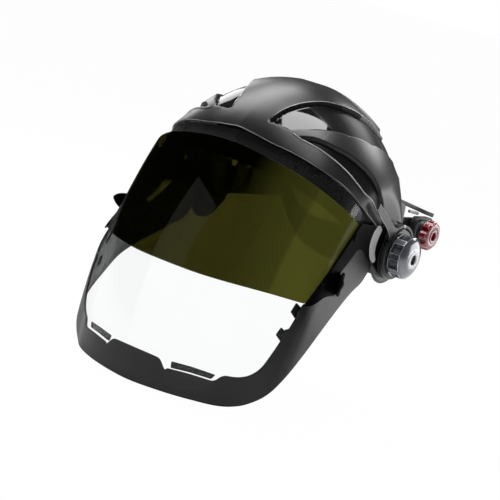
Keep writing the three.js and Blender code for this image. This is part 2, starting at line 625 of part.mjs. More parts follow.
// Stations round half a superellipse, from -reach to reach; a negative depth bows forward.
function ovalStations({ halfWidth, startY, depth, exponent, reach, steps, zAt }) {
  const power = 2 / exponent;
  return Array.from({ length: steps + 1 }, (_, i) => {
    const angle = (-reach + 2 * reach * i / steps) * rad;
    const sine = Math.abs(Math.sin(angle));
    const cosine = Math.abs(Math.cos(angle));
    const side = -Math.sign(depth) * Math.sign(angle);
    const y = startY + depth * cosine ** power;
    const outX = side * sine ** (2 - power) / halfWidth;
    const outY = cosine ** (2 - power) / depth;
    const length = Math.hypot(outX, outY);
    return {
      at: [side * halfWidth * sine ** power, y, zAt(y)],
      across: [0, 0, 1],
      out: [outX / length, outY / length, 0],
    };
  });
}
const frontOval = (inset, reach, steps) => ovalStations({
  halfWidth: HEADBAND_X - inset, startY: -6, depth: inset - FRONT_DEPTH, exponent: 2.3,
  reach, steps, zAt: (y) => HEADBAND_Z + BROW_RISE * smooth((-14 - y) / 50),
});
const rearOval = (inset, reach, steps) => ovalStations({
  halfWidth: REARBAND_X - inset, startY: REAR_START_Y, depth: REAR_DEPTH - inset, exponent: 2.4,
  reach, steps,
  zAt: (y) => HEADBAND_Z - NAPE_DROP * smooth((y + inset - REAR_START_Y) / REAR_DEPTH),
});
const tail = (x, y) => ({ at: [x, y, HEADBAND_Z], across: [0, 0, 1], out: [Math.sign(x), 0, 0] });

function frontHeadband() {
  let band = ribbon([
    tail(-HEADBAND_X, 64), tail(-HEADBAND_X, 20), ...frontOval(0, 90, 28),
    tail(HEADBAND_X, 20), tail(HEADBAND_X, 88)], 26, 2);
  for (const [, side] of SIDES) for (const [, y] of BRACKET_RIVETS) {
    band = band.subtract(rodX(76, 81, BRACKET_HOLE_R, 12, { y, z: HEADBAND_Z, side }));
  }
  return band.subtract(rodX(76, 81, 6.3, 20, { y: DIAL.y, z: DIAL.z }));
}

// Straight tails inside the front band's, a dip to the nape, a rack slot in the left tail
function rearBand() {
  const band = ribbon(
    [tail(REARBAND_X, 30), ...rearOval(0, 90, 24), tail(-REARBAND_X, 30)],
    (t) => 24 + 10 * smooth(Math.min(t, 1 - t) * 6 - 1.6), 2);
  const pitchZ = DIAL.z - PINION_PITCH_R;
  const rootZ = pitchZ - 1.35;
  const tipZ = pitchZ + 0.85;
  const slotTop = DIAL.z + 6.2;
  const slot = [[52, rootZ]];
  for (let k = -5; k <= 5; k++) {
    const y = DIAL.y + (k + 0.5) * RACK_PITCH;
    slot.push([y - 1.0, rootZ], [y - 0.35, tipZ], [y + 0.35, tipZ], [y + 1.0, rootZ]);
  }
  slot.push([86.4, rootZ], [86.4, slotTop], [52, slotTop]);
  return band.subtract(plateX(slot, 74, 78));
}

// ---------------------------------------------------------------- adjuster, on the left tails
const dialHousing = () => plateX(
  roundedRect(54, 86, 1, 28, 7, 5), 80.1, 91.4, { holes: [[DIAL.y, DIAL.z, 2.56]] });

function dialPinion() {
  // one tooth: [angle from its middle, radius]
  const tooth = [[-10.5, 3.1], [-7.5, 4.5], [-4, 5.3], [4, 5.3], [7.5, 4.5], [10.5, 3.1]];
  const gear = [];
  for (let k = 0; k < PINION_TEETH; k++) for (const [turn, r] of tooth) {
    const angle = (-90 + k * 360 / PINION_TEETH + turn) * rad;
    gear.push([DIAL.y + r * Math.cos(angle), DIAL.z + r * Math.sin(angle)]);
  }
  return plateX(gear, 74.7, 77.2).add(rodX(77, 96.6, SHAFT_R, 20, { y: DIAL.y, z: DIAL.z }));
}

function adjusterDial() {
  const { y, z, r, x0, x1 } = DIAL;
  let dial = turnX([
    [x0, 0], [x0, r - 0.7], [x0 + 0.7, r], [x1 - 2.2, r - 0.5], [x1 - 0.4, r - 2.2],
    [x1, r - 4], [x1, 2.4], [x1 - 1.6, 2.4], [x1 - 1.6, 0]], 24, { y, z });
  dial = dial.subtract(rodX(x0 - 1, 97, 2.85, 20, { y, z }));
  for (let k = 0; k < 8; k++) {
    const angle = (k + 0.5) * 45 * rad;
    const flute = {
      y: y + (r + 1.3) * Math.cos(angle),
      z: z + (r + 1.3) * Math.sin(angle),
    };
    dial = dial.subtract(rodX(x0 - 1, x1 + 1, 3.1, 10, flute));
  }
  return dial;
}

// ---------------------------------------------------------------- straps
const STRAP_Y = 6;                // plane of the strap over the head

// Half of the strap over the head, from the side up past the top, with the stud's hole
function crownStrap(side, start, end, offset) {
  const halfWidth = 74.2 + offset;
  const across = [0, 1, 0];
  const drop = [2, 14].map((z) =>
    ({ at: [side * halfWidth, STRAP_Y, z], across, out: [side, 0, 0] }));
  const arch = Array.from({ length: 15 }, (_, i) => {
    const angle = (start + (end - start) * i / 14) * rad;
    const out = [Math.cos(angle), 0, Math.sin(angle)];
    return { at: [halfWidth * out[0], STRAP_Y, 26 + (64 + offset) * out[2]], across, out };
  });
  const hole = new THREE.CylinderGeometry(2.3, 2.3, 30, 10);
  hole.rotateX(Math.PI / 2);
  hole.translate(0, STRAP_Y, 89);
  return ribbon([...drop, ...arch], 18, 1.6).subtract(fromGeometry(hole));
}

function strapStud() {
  const stud = lathe([
    [85.6, 0], [85.6, 4.5], [87.0, 4.5], [87.0, 1.9], [91.8, 1.9], [91.8, 4.2], [93.0, 3.6],
    [93.2, 0]], 12);
  stud.rotateX(Math.PI / 2);
  stud.translate(0, STRAP_Y, 0);
  return fromGeometry(stud);
}

// Fore-and-aft strap from the brow to the strap over the head
function browStrap() {
  const across = [1, 0, 0];
  const rise = Array.from({ length: 13 }, (_, i) => {
    const angle = (180 - 86 * i / 12) * rad;
    const out = [0, Math.cos(angle), Math.sin(angle)];
    return { at: [0, -4 + 86 * out[1], 72.8 + 13.6 * out[2]], across, out };
  });
  return ribbon([...rise, { at: [0, 0.4, 86.2], across, out: [0, 0, 1] }], 16, 1.5);
}

// Strap from the strap over the head back and down to the dial housing
function sideStrap() {
  const path = [[77.4, 18, 42], [78.4, 40, 38.4], [80.5, 58, 35], [84.5, 72, 32.2], [86, 83, 30.4]];
  const stations = path.map((at) =>
    ({ at, across: [0, 0.15, 0.989], out: [0.989, -0.02, 0.003] }));
  return ribbon(stations, 3.6, 1.6);
}

const strapTab = () => ribbon(
  [[79.2, 50, 31.6], [80.6, 64, 30.2]].map((at) => ({ at, across: [0, 0, 1], out: [1, 0, 0] })),
  2.6, 2.4);

// ---------------------------------------------------------------- assembly
const FINISH = {
  satinBlack: { color: 0x2a2b2e, roughness: 0.45 },
  deepBlack: { color: 0x0d0d0f, roughness: 0.3 },
  clear: { color: 0xdfe6e8, roughness: 0.05, transparent: true, opacity: 0.25 },
  shade: { color: 0x343a12, roughness: 0.08, transparent: true, opacity: 0.85 },
  silver: { color: 0xaab0b8, roughness: 0.25, metalness: 0.4 },
  steel: { color: 0x9a9da0, roughness: 0.35, metalness: 1 },
  red: { color: 0xb01428, roughness: 0.3 },
  grey: { color: 0x55575a, roughness: 0.5 },
  foam: { color: 0x1c1c1e, roughness: 0.95 },
  strap: { color: 0x232325, roughness: 0.6 },
  pale: { color: 0xb8babb, roughness: 0.5 },
};

const root = new THREE.Group();
const assembly = new THREE.Group();
root.add(assembly);

function add(name, manifold, finish) {
  const mesh = new THREE.Mesh(toGeometry(manifold), new THREE.MeshStandardMaterial(finish));
  mesh.name = name;
  assembly.add(mesh);
}

// The sheets share one random sequence, so their order here matters.
add('crown_cover', crownCover(), FINISH.satinBlack);
add('window_mount_band', sheet(mirrored(BAND_HALF), BAND_D, studHoles), FINISH.deepBlack);
add('clear_window', sheet(mirrored(WINDOW_HALF), WINDOW_D, studHoles), FINISH.clear);
add('chin_guard', chinGuard(), FINISH.satinBlack);
const lensHoles = [...rivetHoles(1), ...rivetHoles(-1)];
add('shade_lens', sheet(mirrored(LENS_HALF), LENS_D, lensHoles), FINISH.shade);
for (const [name, side] of SIDES) {
  add(`visor_carrier_${name}`, visorCarrier(side), FINISH.deepBlack);
}
for (const [name, phi] of STUDS) {
  add(`window_stud_${name}`, pinOn(phi, studH(phi), STUD_PROFILE), FINISH.deepBlack);
}
for (const [name, side] of SIDES) for (const [level, phi, h] of LENS_RIVETS) {
  add(`lens_rivet_${name}_${level}`, pinOn(side * phi, h, RIVET_PROFILE), FINISH.deepBlack);
}
for (const [name, ...place] of CHIN_CLIPS) {
  add(`chin_clip_${name}`, chinClip(...place), FINISH.deepBlack);
}
for (const [name, side] of SIDES) for (const [level, outline] of ARM_CLIPS) {
  add(`arm_clip_${name}_${level}`, sheet(onSide(outline, side), CLIP_D), FINISH.deepBlack);
}
for (const [name, side] of SIDES) {
  add(`index_plate_${name}`, indexPlate(side), FINISH.grey);
  add(`pivot_shroud_${name}`, pivotShroud(side), FINISH.satinBlack);
  add(`knob_base_${name}`, knobBase(side), FINISH.deepBlack);
  add(`tension_knob_${name}`, tensionKnob(side), FINISH.silver);
  add(`pivot_bolt_${name}`, pivotBolt(side), FINISH.steel);
  add(`pivot_bracket_${name}`, pivotBracket(side), FINISH.strap);
  for (const [end, y] of BRACKET_RIVETS) {
    add(`bracket_rivet_${name}_${end}`, bracketRivet(side, y), FINISH.steel);
  }
}
add('front_headband', frontHeadband(), FINISH.strap);
add('sweatband', ribbon(frontOval(SWEATBAND_INSET, 68, 20), 30, 5.6), FINISH.foam);
add('rear_band', rearBand(), FINISH.strap);
add('nape_pad', ribbon(rearOval(NAPE_INSET, 58, 16), 26, 5), FINISH.foam);
add('dial_housing', dialHousing(), FINISH.grey);
add('dial_pinion', dialPinion(), FINISH.steel);
add('adjuster_dial', adjusterDial(), FINISH.red);
add('crown_strap_left', crownStrap(1, 0, 110, 0.6), FINISH.strap);
add('crown_strap_right', crownStrap(-1, 180, 72, -1.6), FINISH.strap);
add('strap_stud', strapStud(), FINISH.pale);
add('brow_strap', browStrap(), FINISH.strap);
add('side_strap_left', sideStrap(), FINISH.strap);
add('strap_tab_left', strapTab(), FINISH.pale);

// The finished part stands on Z = 0 with its middle over the origin.
const extent = new THREE.Box3().setFromObject(assembly);
const centre = extent.getCenter(new THREE.Vector3());
assembly.position.set(-centre.x, -centre.y, -extent.min.z);

export default root;
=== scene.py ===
# Flip-front face shield: the visible skins, straps and fittings, built round its CAD pieces.
# Helpers take millimetres about the pivot axis: +X is the wearer's left, -Y the front, +Z up.
# new_object() turns them into scene metres.
import math
import bpy
import bmesh
import numpy as np
from mathutils import Matrix, Vector
from mathutils.geometry import delaunay_2d_cdt


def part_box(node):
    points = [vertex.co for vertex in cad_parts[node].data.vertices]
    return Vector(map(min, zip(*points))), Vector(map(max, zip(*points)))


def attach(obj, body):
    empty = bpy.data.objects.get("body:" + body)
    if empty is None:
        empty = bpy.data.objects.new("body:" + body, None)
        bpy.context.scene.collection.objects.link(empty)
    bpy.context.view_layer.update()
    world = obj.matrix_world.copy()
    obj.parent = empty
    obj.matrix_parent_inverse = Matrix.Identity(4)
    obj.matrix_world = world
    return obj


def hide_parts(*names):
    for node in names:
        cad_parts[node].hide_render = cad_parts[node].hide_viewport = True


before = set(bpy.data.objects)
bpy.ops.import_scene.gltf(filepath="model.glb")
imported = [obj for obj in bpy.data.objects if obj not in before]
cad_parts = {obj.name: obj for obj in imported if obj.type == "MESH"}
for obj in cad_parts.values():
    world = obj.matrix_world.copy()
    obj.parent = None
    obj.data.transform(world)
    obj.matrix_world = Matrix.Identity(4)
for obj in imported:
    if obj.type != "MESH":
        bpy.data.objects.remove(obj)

box_low, box_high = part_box("knob_base_left")
PIVOT_Y = (box_low.y + box_high.y) / 2
PIVOT_Z = (box_low.z + box_high.z) / 2
SIDES = (("left", 1), ("right", -1))


def to_scene(points):
    return np.asarray(points, float) / 1000.0 + np.array([0.0, PIVOT_Y, PIVOT_Z])


# ------------------------------------------------------------------ shell surface
# The shell leans by LEAN. A point on it is (phi, h): phi is the angle round the front in degrees,
# counted on past 90 in millimetres along the flat side, and h is the height in the leaning frame.
LEAN = math.radians(19)
LEAN_COS, LEAN_SIN = math.cos(LEAN), math.sin(LEAN)
SHELL_HALF_WIDTH, SHELL_DEPTH = 97.46, 67.61
SHELL_FRONT, SHELL_BULGE = -137.94, 14.8
BULGE_HEIGHT, BULGE_REACH = -70, 105    # height of the foremost point, and half the bulge's span
NARROWING, WIDEST_HEIGHT = 0.0002557, -8.053
SHELL_TAPER, TAPER_RUN = 4.5, 54        # narrowing of the flat side, and its length along the side
SHELL_POWER = 2 / 2.02                  # exponent of the nearly elliptical front
ARM_SWELL = 22.0                        # how far the low sides swell forward
SWELL_DIRECTION = (0.477, -0.85, 0.22)

# depths outside the shell surface: inner face, outer face
CHIN_DEPTH, LENS_DEPTH, CARRIER_DEPTH = (1.05, 3.05), (3.4, 4.8), (5.1, 6.8)
BAND_DEPTH, CLIP_DEPTH = (-3.0, -1.05), (-2.9, -1.05)
WINDOW_THICK = 1.5


def ease(t):
    t = np.clip(t, 0, 1)
    return t * t * (3 - 2 * t)


def soft_min(a, b, k):
    return 0.5 * (a + b - np.sqrt((a - b) ** 2 + k * k))


def shell_front(h):
    return SHELL_FRONT - SHELL_BULGE * (1 - ((h - BULGE_HEIGHT) / BULGE_REACH) ** 2)


def shell(phi, h, depth, swell=ARM_SWELL):
    """Points at (phi, h), the given depth outside the shell surface."""
    phi, h = np.broadcast_arrays(np.asarray(phi, float), np.asarray(h, float))
    past = np.maximum(0, np.abs(phi) - 90)
    taper = ease(past / TAPER_RUN)
    half_width = SHELL_HALF_WIDTH - NARROWING * (h - WIDEST_HEIGHT) ** 2 * (1 - taper)
    angle = np.radians(np.minimum(90, np.abs(phi)))
    x = (half_width + depth) * np.sin(angle) ** SHELL_POWER - SHELL_TAPER * taper
    y = (shell_front(h) + SHELL_DEPTH
         - (SHELL_DEPTH + depth) * np.abs(np.cos(angle)) ** SHELL_POWER + past)
    out = swell * ease((np.abs(phi) - 55) / 50) * ease((-30 - h) / 70)
    dx, dy, dz = SWELL_DIRECTION
    return np.stack([np.sign(phi) * (x + dx * out),
                     y * LEAN_COS + h * LEAN_SIN + dy * out,
                     -y * LEAN_SIN + h * LEAN_COS + dz * out], -1)


# arc length round the front, so that outlines are drawn in millimetres
ARC_PHI = np.linspace(0, 90, 361)
ARC_STEPS = np.diff(shell(ARC_PHI, BULGE_HEIGHT, 0.0, swell=0.0), axis=0)
ARC_LENGTH = np.concatenate([[0], np.cumsum(np.linalg.norm(ARC_STEPS, axis=1))])


def arc_of(phi):
    size = np.abs(phi)
    front = np.interp(np.minimum(size, 90), ARC_PHI, ARC_LENGTH)
    return np.sign(phi) * (front + np.maximum(0, size - 90))


def phi_of(arc):
    size, end = np.abs(arc), ARC_LENGTH[-1]
    front = np.interp(np.minimum(size, end), ARC_LENGTH, ARC_PHI)
    return np.sign(arc) * (front + np.maximum(0, size - end))


def on_shell(flat, depth):
    """Places flat points (arc length, h) on the shell."""
    return shell(phi_of(flat[:, 0]), flat[:, 1], depth)


def unit(vectors):
    return vectors / np.linalg.norm(vectors, axis=1, keepdims=True)


def shell_normal(flat):
    reach = 0.6
    along = on_shell(flat + [reach, 0], 0) - on_shell(flat - [reach, 0], 0)
    up = on_shell(flat + [0, reach], 0) - on_shell(flat - [0, reach], 0)
    return unit(np.cross(along, up))


def leaning_side_point(y, h):
    """(phi, h) of a point on the flat side, from the leaning frame."""
    return 90 + y - (shell_front(h) + SHELL_DEPTH), h


def side_point(y, z):
    """(phi, h) of a point on the flat side, from the upright frame."""
    return leaning_side_point(y * LEAN_COS - z * LEAN_SIN, y * LEAN_SIN + z * LEAN_COS)


# ------------------------------------------------------------------ plane outlines
SOFT_CORNER = 30.0    # fillet radius of outline points that carry none; cut to fit the edges


def rounded(points, radius=SOFT_CORNER):
    """Gives a corner radius to each point that has none."""
    return [(p[0], p[1], p[2] if len(p) > 2 else radius) for p in points]


def mirrored(points):
    return [(-p[0], *p[1:]) for p in reversed(points)]


def on_side(points, side):
    return points if side > 0 else mirrored(points)


def both(points):
    """Closes a half outline with its mirror image."""
    points = rounded(points)
    return points + [p for p in mirrored(points) if abs(p[0]) > 1e-6]


def arc(radius, start, end, n):
    angles = np.radians(np.linspace(start, end, n + 1))
    return [(radius * math.cos(a), radius * math.sin(a)) for a in angles]


def circle(y, z, radius, n=48):
    a = np.linspace(0, 2 * math.pi, n, endpoint=False)
    return np.stack([y + radius * np.cos(a), z + radius * np.sin(a)], 1)


def rounded_rect(y0, y1, z0, z1, radius):
    return [(y1, z0, radius), (y1, z1, radius), (y0, z1, radius), (y0, z0, radius)]


def is_ccw(loop):
    x, y = loop[:, 0], loop[:, 1]
    return (x * np.roll(y, -1) - np.roll(x, -1) * y).sum() > 0


def fillet(points, steps=5):
    """Rounds each corner of a closed outline of (x, y, radius)."""
    out, n = [], len(points)
    for i in range(n):
        before, corner, after = (np.array(points[(i + k) % n][:2], float) for k in (-1, 0, 1))
        back, on = before - corner, after - corner
        back_length, on_length = np.linalg.norm(back), np.linalg.norm(on)
        if back_length < 1e-6 or on_length < 1e-6:
            continue
        cut = min(points[i][2], back_length * 0.49, on_length * 0.49)
        turn = abs(np.cross(back / back_length, on / on_length))
        if turn < 0.02 or cut < 0.05:
            out.append(corner)
            continue
        first = corner + back / back_length * cut
        last = corner + on / on_length * cut
        for u in np.linspace(0, 1, steps + 1):
            out.append((1 - u) ** 2 * first + 2 * u * (1 - u) * corner + u * u * last)
    return np.array(out)


def resample(loop, step):
    """Divides long edges and drops points that nearly coincide."""
    out = []
    for a, b in zip(loop, np.roll(loop, -1, axis=0)):
        n = max(1, int(math.ceil(np.linalg.norm(b - a) / step)))
        out += [a + (b - a) * k / n for k in range(n)]
    out = np.array(out)
    return out[np.linalg.norm(out - np.roll(out, 1, axis=0), axis=1) > 0.04]


def inset(loop, distance):
    """Moves a closed loop to its left; also returns its left normals."""
    back, on = loop - np.roll(loop, 1, axis=0), np.roll(loop, -1, axis=0) - loop
    back_normal = unit(np.stack([-back[:, 1], back[:, 0]], 1))
    normal = back_normal + unit(np.stack([-on[:, 1], on[:, 0]], 1))
    normal /= np.maximum(np.linalg.norm(normal, axis=1, keepdims=True), 1e-9)
    stretch = 1 / np.maximum((normal * back_normal).sum(1), 0.6)
    return loop + normal * (distance * stretch)[:, None], normal


def inside(points, loops):
    """Even-odd test of points against closed loops."""
    odd = np.zeros(len(points), bool)
    px, py = points[:, 0], points[:, 1]
    for loop in loops:
        for (x1, y1), (x2, y2) in zip(loop, np.roll(loop, -1, axis=0)):
            if y1 == y2:
                continue
            odd ^= ((y1 > py) != (y2 > py)) & (px < (x2 - x1) * (py - y1) / (y2 - y1) + x1)
    return odd


def triangulate(loops, step):
    """Fills loops with triangles; also maps each loop point to its vertex."""
    points, edges = [], []
    for loop in loops:
        start, n = len(points), len(loop)
        points += [tuple(p) for p in loop]
        edges += [(start + i, start + (i + 1) % n) for i in range(n)]
    border = np.concatenate(loops)
    low, high = border.min(0), border.max(0)
    grid_x = np.arange(low[0] + 0.37 * step, high[0], step)
    grid_y = np.arange(low[1] + 0.41 * step, high[1], step)
    if len(grid_x) and len(grid_y):
        grid = np.stack(np.meshgrid(grid_x, grid_y, indexing="ij"), -1).reshape(-1, 2)
        grid = grid[inside(grid, loops)]
        if len(grid):
            gap = np.full(len(grid), 1e9)
            for i in range(0, len(border), 200):
                apart = np.linalg.norm(grid[:, None] - border[None, i:i + 200], axis=2)
                gap = np.minimum(gap, apart.min(1))
            points += [tuple(p) for p in grid[gap > 0.55 * step]]
    result = delaunay_2d_cdt([Vector(p) for p in points], edges, [], 0, 1e-5)
    verts = np.array([tuple(v) for v in result[0]])
    faces = np.array([tuple(f) for f in result[2]])
    faces = faces[inside(verts[faces].mean(1), loops)]
    vertex_of = {source: i for i, sources in enumerate(result[3]) for source in sources}
    return verts, faces, vertex_of


# ------------------------------------------------------------------ mesh makers
def new_object(name, verts, faces, material, normals=None, sharp=None, attributes=None):
    """An object from millimetre points. sharp is the angle in degrees above which edges crease."""
    mesh = bpy.data.meshes.new(name)
    mesh.from_pydata([tuple(v) for v in to_scene(verts)], [],
                     [tuple(int(i) for i in f) for f in faces])
    mesh.validate()
    mesh.update()
    for key, values in (attributes or {}).items():
        attribute = mesh.attributes.new(key, "FLOAT", "POINT")
        attribute.data.foreach_set("value", np.asarray(values, np.float32))
    ob = bpy.data.objects.new(name, mesh)
    bpy.context.scene.collection.objects.link(ob)
    bm = bmesh.new()
    bm.from_mesh(mesh)
    bmesh.ops.remove_doubles(bm, verts=bm.verts, dist=1e-7)
    bmesh.ops.recalc_face_normals(bm, faces=bm.faces)
    for f in bm.faces:
        f.smooth = True
    bm.to_mesh(mesh)
    bm.free()
    if sharp is not None:
        mesh.set_sharp_from_angle(angle=math.radians(sharp))
    if normals is not None and len(normals) == len(mesh.vertices):
        mesh.normals_split_custom_set_from_vertices([tuple(n) for n in normals])
    if material is not None:
        mesh.materials.append(material)
    return ob


def fit(ob, body, slot, *nodes):
    """Tells the frame what the object moves with and hides the CAD nodes it replaces; slot is not
    used.
    """
    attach(ob, body)
    if nodes:
        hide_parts(*nodes)
    return ob


RIM_STEPS = 3    # rings in each quarter round of a slab's rim


def slab(name, loops, depths, radius, place, normal, material, step, edge):
    """A sheet between two depths with rounded rims. loops[0] is the outline, the rest are holes."""
    inner, outer = depths
    radius = min(radius, (outer - inner) * 0.49)
    rims = []
    for i, loop in enumerate(loops):
        loop = resample(np.asarray(loop, float), edge)
        rims.append(loop if is_ccw(loop) == (i == 0) else loop[::-1])
    insets = [inset(loop, radius) for loop in rims]
    flat, triangles, vertex_of = triangulate([loop for loop, _ in insets], step)
    flat_normal, n_flat = normal(flat), len(flat)
    verts, normals = [place(flat, inner), place(flat, outer)], [-flat_normal, flat_normal]
    faces = [(a, c, b) for a, b, c in triangles]
    faces += [(a + n_flat, b + n_flat, c + n_flat) for a, b, c in triangles]
    quarter = [math.radians((k + 1) * 90.0 / RIM_STEPS) for k in range(RIM_STEPS)]
    turns = [(-1, inner, a) for a in quarter] + [(1, outer, a) for a in reversed(quarter)]
    middle = 0.5 * (inner + outer)
    count, start = 2 * n_flat, 0
    for loop, (_, left) in zip(rims, insets):
        n = len(loop)
        base = [vertex_of[start + i] for i in range(n)]
        rings = [base]
        face_normal = normal(loop)
        outward = unit(place(loop - left * 0.3, middle) - place(loop, middle))
        for sign, face_depth, angle in turns:
            moved, _ = inset(loop, radius * (1 - math.sin(angle)))
            verts.append(place(moved, face_depth - sign * radius * (1 - math.cos(angle))))
            normals.append(unit(face_normal * sign * math.cos(angle) + outward * math.sin(angle)))
            rings.append(list(range(count, count + n)))
            count += n
        rings.append([v + n_flat for v in base])
        for a, b in zip(rings[:-1], rings[1:]):
            for i in range(n):
                j = (i + 1) % n
                faces.append((a[i], a[j], b[j], b[i]))
        start += n
    return new_object(name, np.concatenate(verts), faces, material,
                      normals=np.concatenate(normals))


def shell_sheet(name, outline, depths, radius, material, holes=(), step=4.0, edge=2.2):
    """A sheet on the shell; outline is (phi, h, corner radius), holes are (arc length, h)."""
    flat = [(float(arc_of(phi)), h, corner) for phi, h, corner in outline]
    return slab(name, [fillet(flat), *holes], depths, radius, on_shell, shell_normal, material,
                step, edge)


def plate(name, outline, x_range, radius, side, material, hole=None, edge=1.6):
    """A flat plate between two x values; outline is (y, z, corner radius), hole (y, z, radius)."""
    def place(flat, x):
        return np.stack([np.full(len(flat), float(x)) * side, flat[:, 0], flat[:, 1]], 1)

    def normal(flat):
        return np.tile([float(side), 0, 0], (len(flat), 1))

    loops = [fillet(outline)] + ([circle(*hole)] if hole else [])
    return slab(name, loops, x_range, radius, place, normal, material, step=4.0, edge=edge)


def lathe(name, profile, n, side, material, y=0.0, z=0.0, closed=True, sharp=40, warp=None):
    """Revolution about X through (y, z). profile is a list of (x, radius)."""
    profile = np.array(profile, float)
    angles = np.linspace(0, 2 * math.pi, n, endpoint=False)
    xs, turn = np.meshgrid(profile[:, 0], angles, indexing="ij")
    radii = np.repeat(profile[:, 1][:, None], n, 1)
    if warp is not None:
        radii = warp(xs, turn, radii)
    verts = np.stack([xs * side, y + radii * np.cos(turn), z + radii * np.sin(turn)], -1)
    m, faces = len(profile), []
    for i in range(m if closed else m - 1):
        i2 = (i + 1) % m
        for j in range(n):
            j2 = (j + 1) % n
            faces.append((i * n + j, i * n + j2, i2 * n + j2, i2 * n + j))
    if not closed:
        faces += [tuple(range(n)), tuple((m - 1) * n + j for j in range(n))]
    return new_object(name, verts.reshape(-1, 3), faces, material, sharp=sharp)


def soften(profile, radius, steps=4):
    """Rounds the corners of a closed lathe profile."""
    return fillet(rounded(profile, radius), steps)


def spline(values, knots, places):
    """Cubic through the values at the knots, read at the given places."""
    last, out = len(knots) - 1, []
    for place in places:
        i = min(last - 1, max(0, int(np.searchsorted(knots, place) - 1)))
        before, after = max(0, i - 1), min(last, i + 2)
        span = knots[i + 1] - knots[i]
        u = (place - knots[i]) / max(1e-9, span)
        slope1 = (values[i + 1] - values[before]) / max(1e-9, knots[i + 1] - knots[before]) * span
        slope2 = (values[after] - values[i]) / max(1e-9, knots[after] - knots[i]) * span
        out.append((2 * u**3 - 3 * u**2 + 1) * values[i] + (u**3 - 2 * u**2 + u) * slope1
                   + (-2 * u**3 + 3 * u**2) * values[i + 1] + (u**3 - u**2) * slope2)
    return np.array(out)


def strap_section(half_width, half_thick, corner, bulge):
    """(across, out) points of a rounded rectangle with bulging broad faces."""
    flat, points = half_width - corner, []
    for cx, cy, start in ((1, -1, -90), (1, 1, 0), (-1, 1, 90), (-1, -1, 180)):
        for a in np.radians(np.linspace(start, start + 90, 4)):
            points.append((cx * flat + math.cos(a) * corner,
                           cy * (half_thick - corner) + math.sin(a) * corner))
        if cx == cy:
            for k in (1, 0, -1):
                points.append((cx * k * flat, cy * (half_thick + bulge * (1 - k * k))))
    return points


def strip(name, stations, width, thick, material, corner, spacing, bulge=0.0):
    """A strap swept through stations (point, across, outward).

    width is one number or a list spread evenly along the strap.
    """
    points, across, out = (np.array([s[k] for s in stations], float) for k in range(3))
    steps = np.linalg.norm(np.diff(points, axis=0), axis=1)
    knots = np.concatenate([[0], np.cumsum(steps)])
    m = max(4, int(knots[-1] / spacing))
    places = np.linspace(0, knots[-1], m + 1)
    points = spline(points, knots, places)
    across = unit(spline(across, knots, places))
    out = unit(spline(out, knots, places))
    widths = np.atleast_1d(width)
    widths = np.interp(places / knots[-1], np.linspace(0, 1, len(widths)), widths)
    corner = min(corner, thick * 0.49)
    verts = []
    for i in range(m + 1):
        section = strap_section(widths[i] / 2, thick / 2, corner, bulge)
        verts += [points[i] + across[i] * a + out[i] * b for a, b in section]
    k, faces = len(section), []
    for i in range(m):
        for j in range(k):
            j2 = (j + 1) % k
            faces.append((i * k + j, i * k + j2, (i + 1) * k + j2, (i + 1) * k + j))
    faces += [tuple(range(k)), tuple(m * k + j for j in range(k))]
    return new_object(name, np.array(verts), faces, material, sharp=50)


# ------------------------------------------------------------------ shader graphs
class Graph:
    """A node tree being filled. A node given as a value stands for its first output."""

    def __init__(self, owner, output="OutputMaterial"):
        owner.use_nodes = True
        self.tree = owner.node_tree
        self.tree.nodes.clear()
        self.output = self.add(output)

    def feed(self, socket, value):
        """Links a node or socket to an input, or sets its plain value."""
        if isinstance(value, bpy.types.Node):
            value = value.outputs[0]
        if isinstance(value, bpy.types.NodeSocket):
            self.tree.links.new(value, socket)
        else:
            socket.default_value = value

    def add(self, kind, **settings):
        """Adds a node. Settings are its inputs, with _ for a space, or its properties."""
        node = self.tree.nodes.new("ShaderNode" + kind)
        for key, value in settings.items():
            name = key.replace("_", " ")
            if name in node.inputs:
                self.feed(node.inputs[name], value)
            else:
                setattr(node, key, value)
        return node

    def add_ordered(self, kind, *values, **settings):
        """Adds a node and feeds its inputs by position."""
        node = self.add(kind, **settings)
        for i, value in enumerate(values):
            self.feed(node.inputs[i], value)
        return node

    def math(self, operation, a, b, clamp=False):
        return self.add_ordered("Math", a, b, operation=operation, use_clamp=clamp)

    def mix_shader(self, factor, a, b):
        return self.add_ordered("MixShader", factor, a, b)

    def mix(self, data_type, factor, a, b):
        node = self.add("Mix", data_type=data_type, Factor=factor, A=a, B=b)
        return node.outputs["Result"]

    def map_range(self, value, low, high, start=0.0, end=1.0):
        return self.add("MapRange", Value=value, From_Min=start, From_Max=end,
                        To_Min=low, To_Max=high)

    def object_coords(self):
        return self.add("TexCoord").outputs["Object"]

    def coords(self, scale=(1, 1, 1)):
        return self.add("Mapping", Vector=self.object_coords(), Scale=scale)

    def noise(self, coords, scale, detail, **more):
        return self.add("TexNoise", Vector=coords, Scale=scale, Detail=detail, **more)

    def ramp(self, source, stops):
        """stops are (position, grey or colour), in ascending order."""
        node = self.add("ValToRGB", Fac=source)
        elements = node.color_ramp.elements
        for i, (position, value) in enumerate(stops):
            element = elements[i] if i < 2 else elements.new(position)
            element.position = position
            element.color = rgba(value if isinstance(value, tuple) else (value,) * 3)
        return node

    def finish(self, shader):
        self.feed(self.output.inputs[0], shader)


def rgba(color):
    return (*color, 1)


def scaled(color, factor, offset=0.0):
    return tuple(c * factor + offset for c in color)


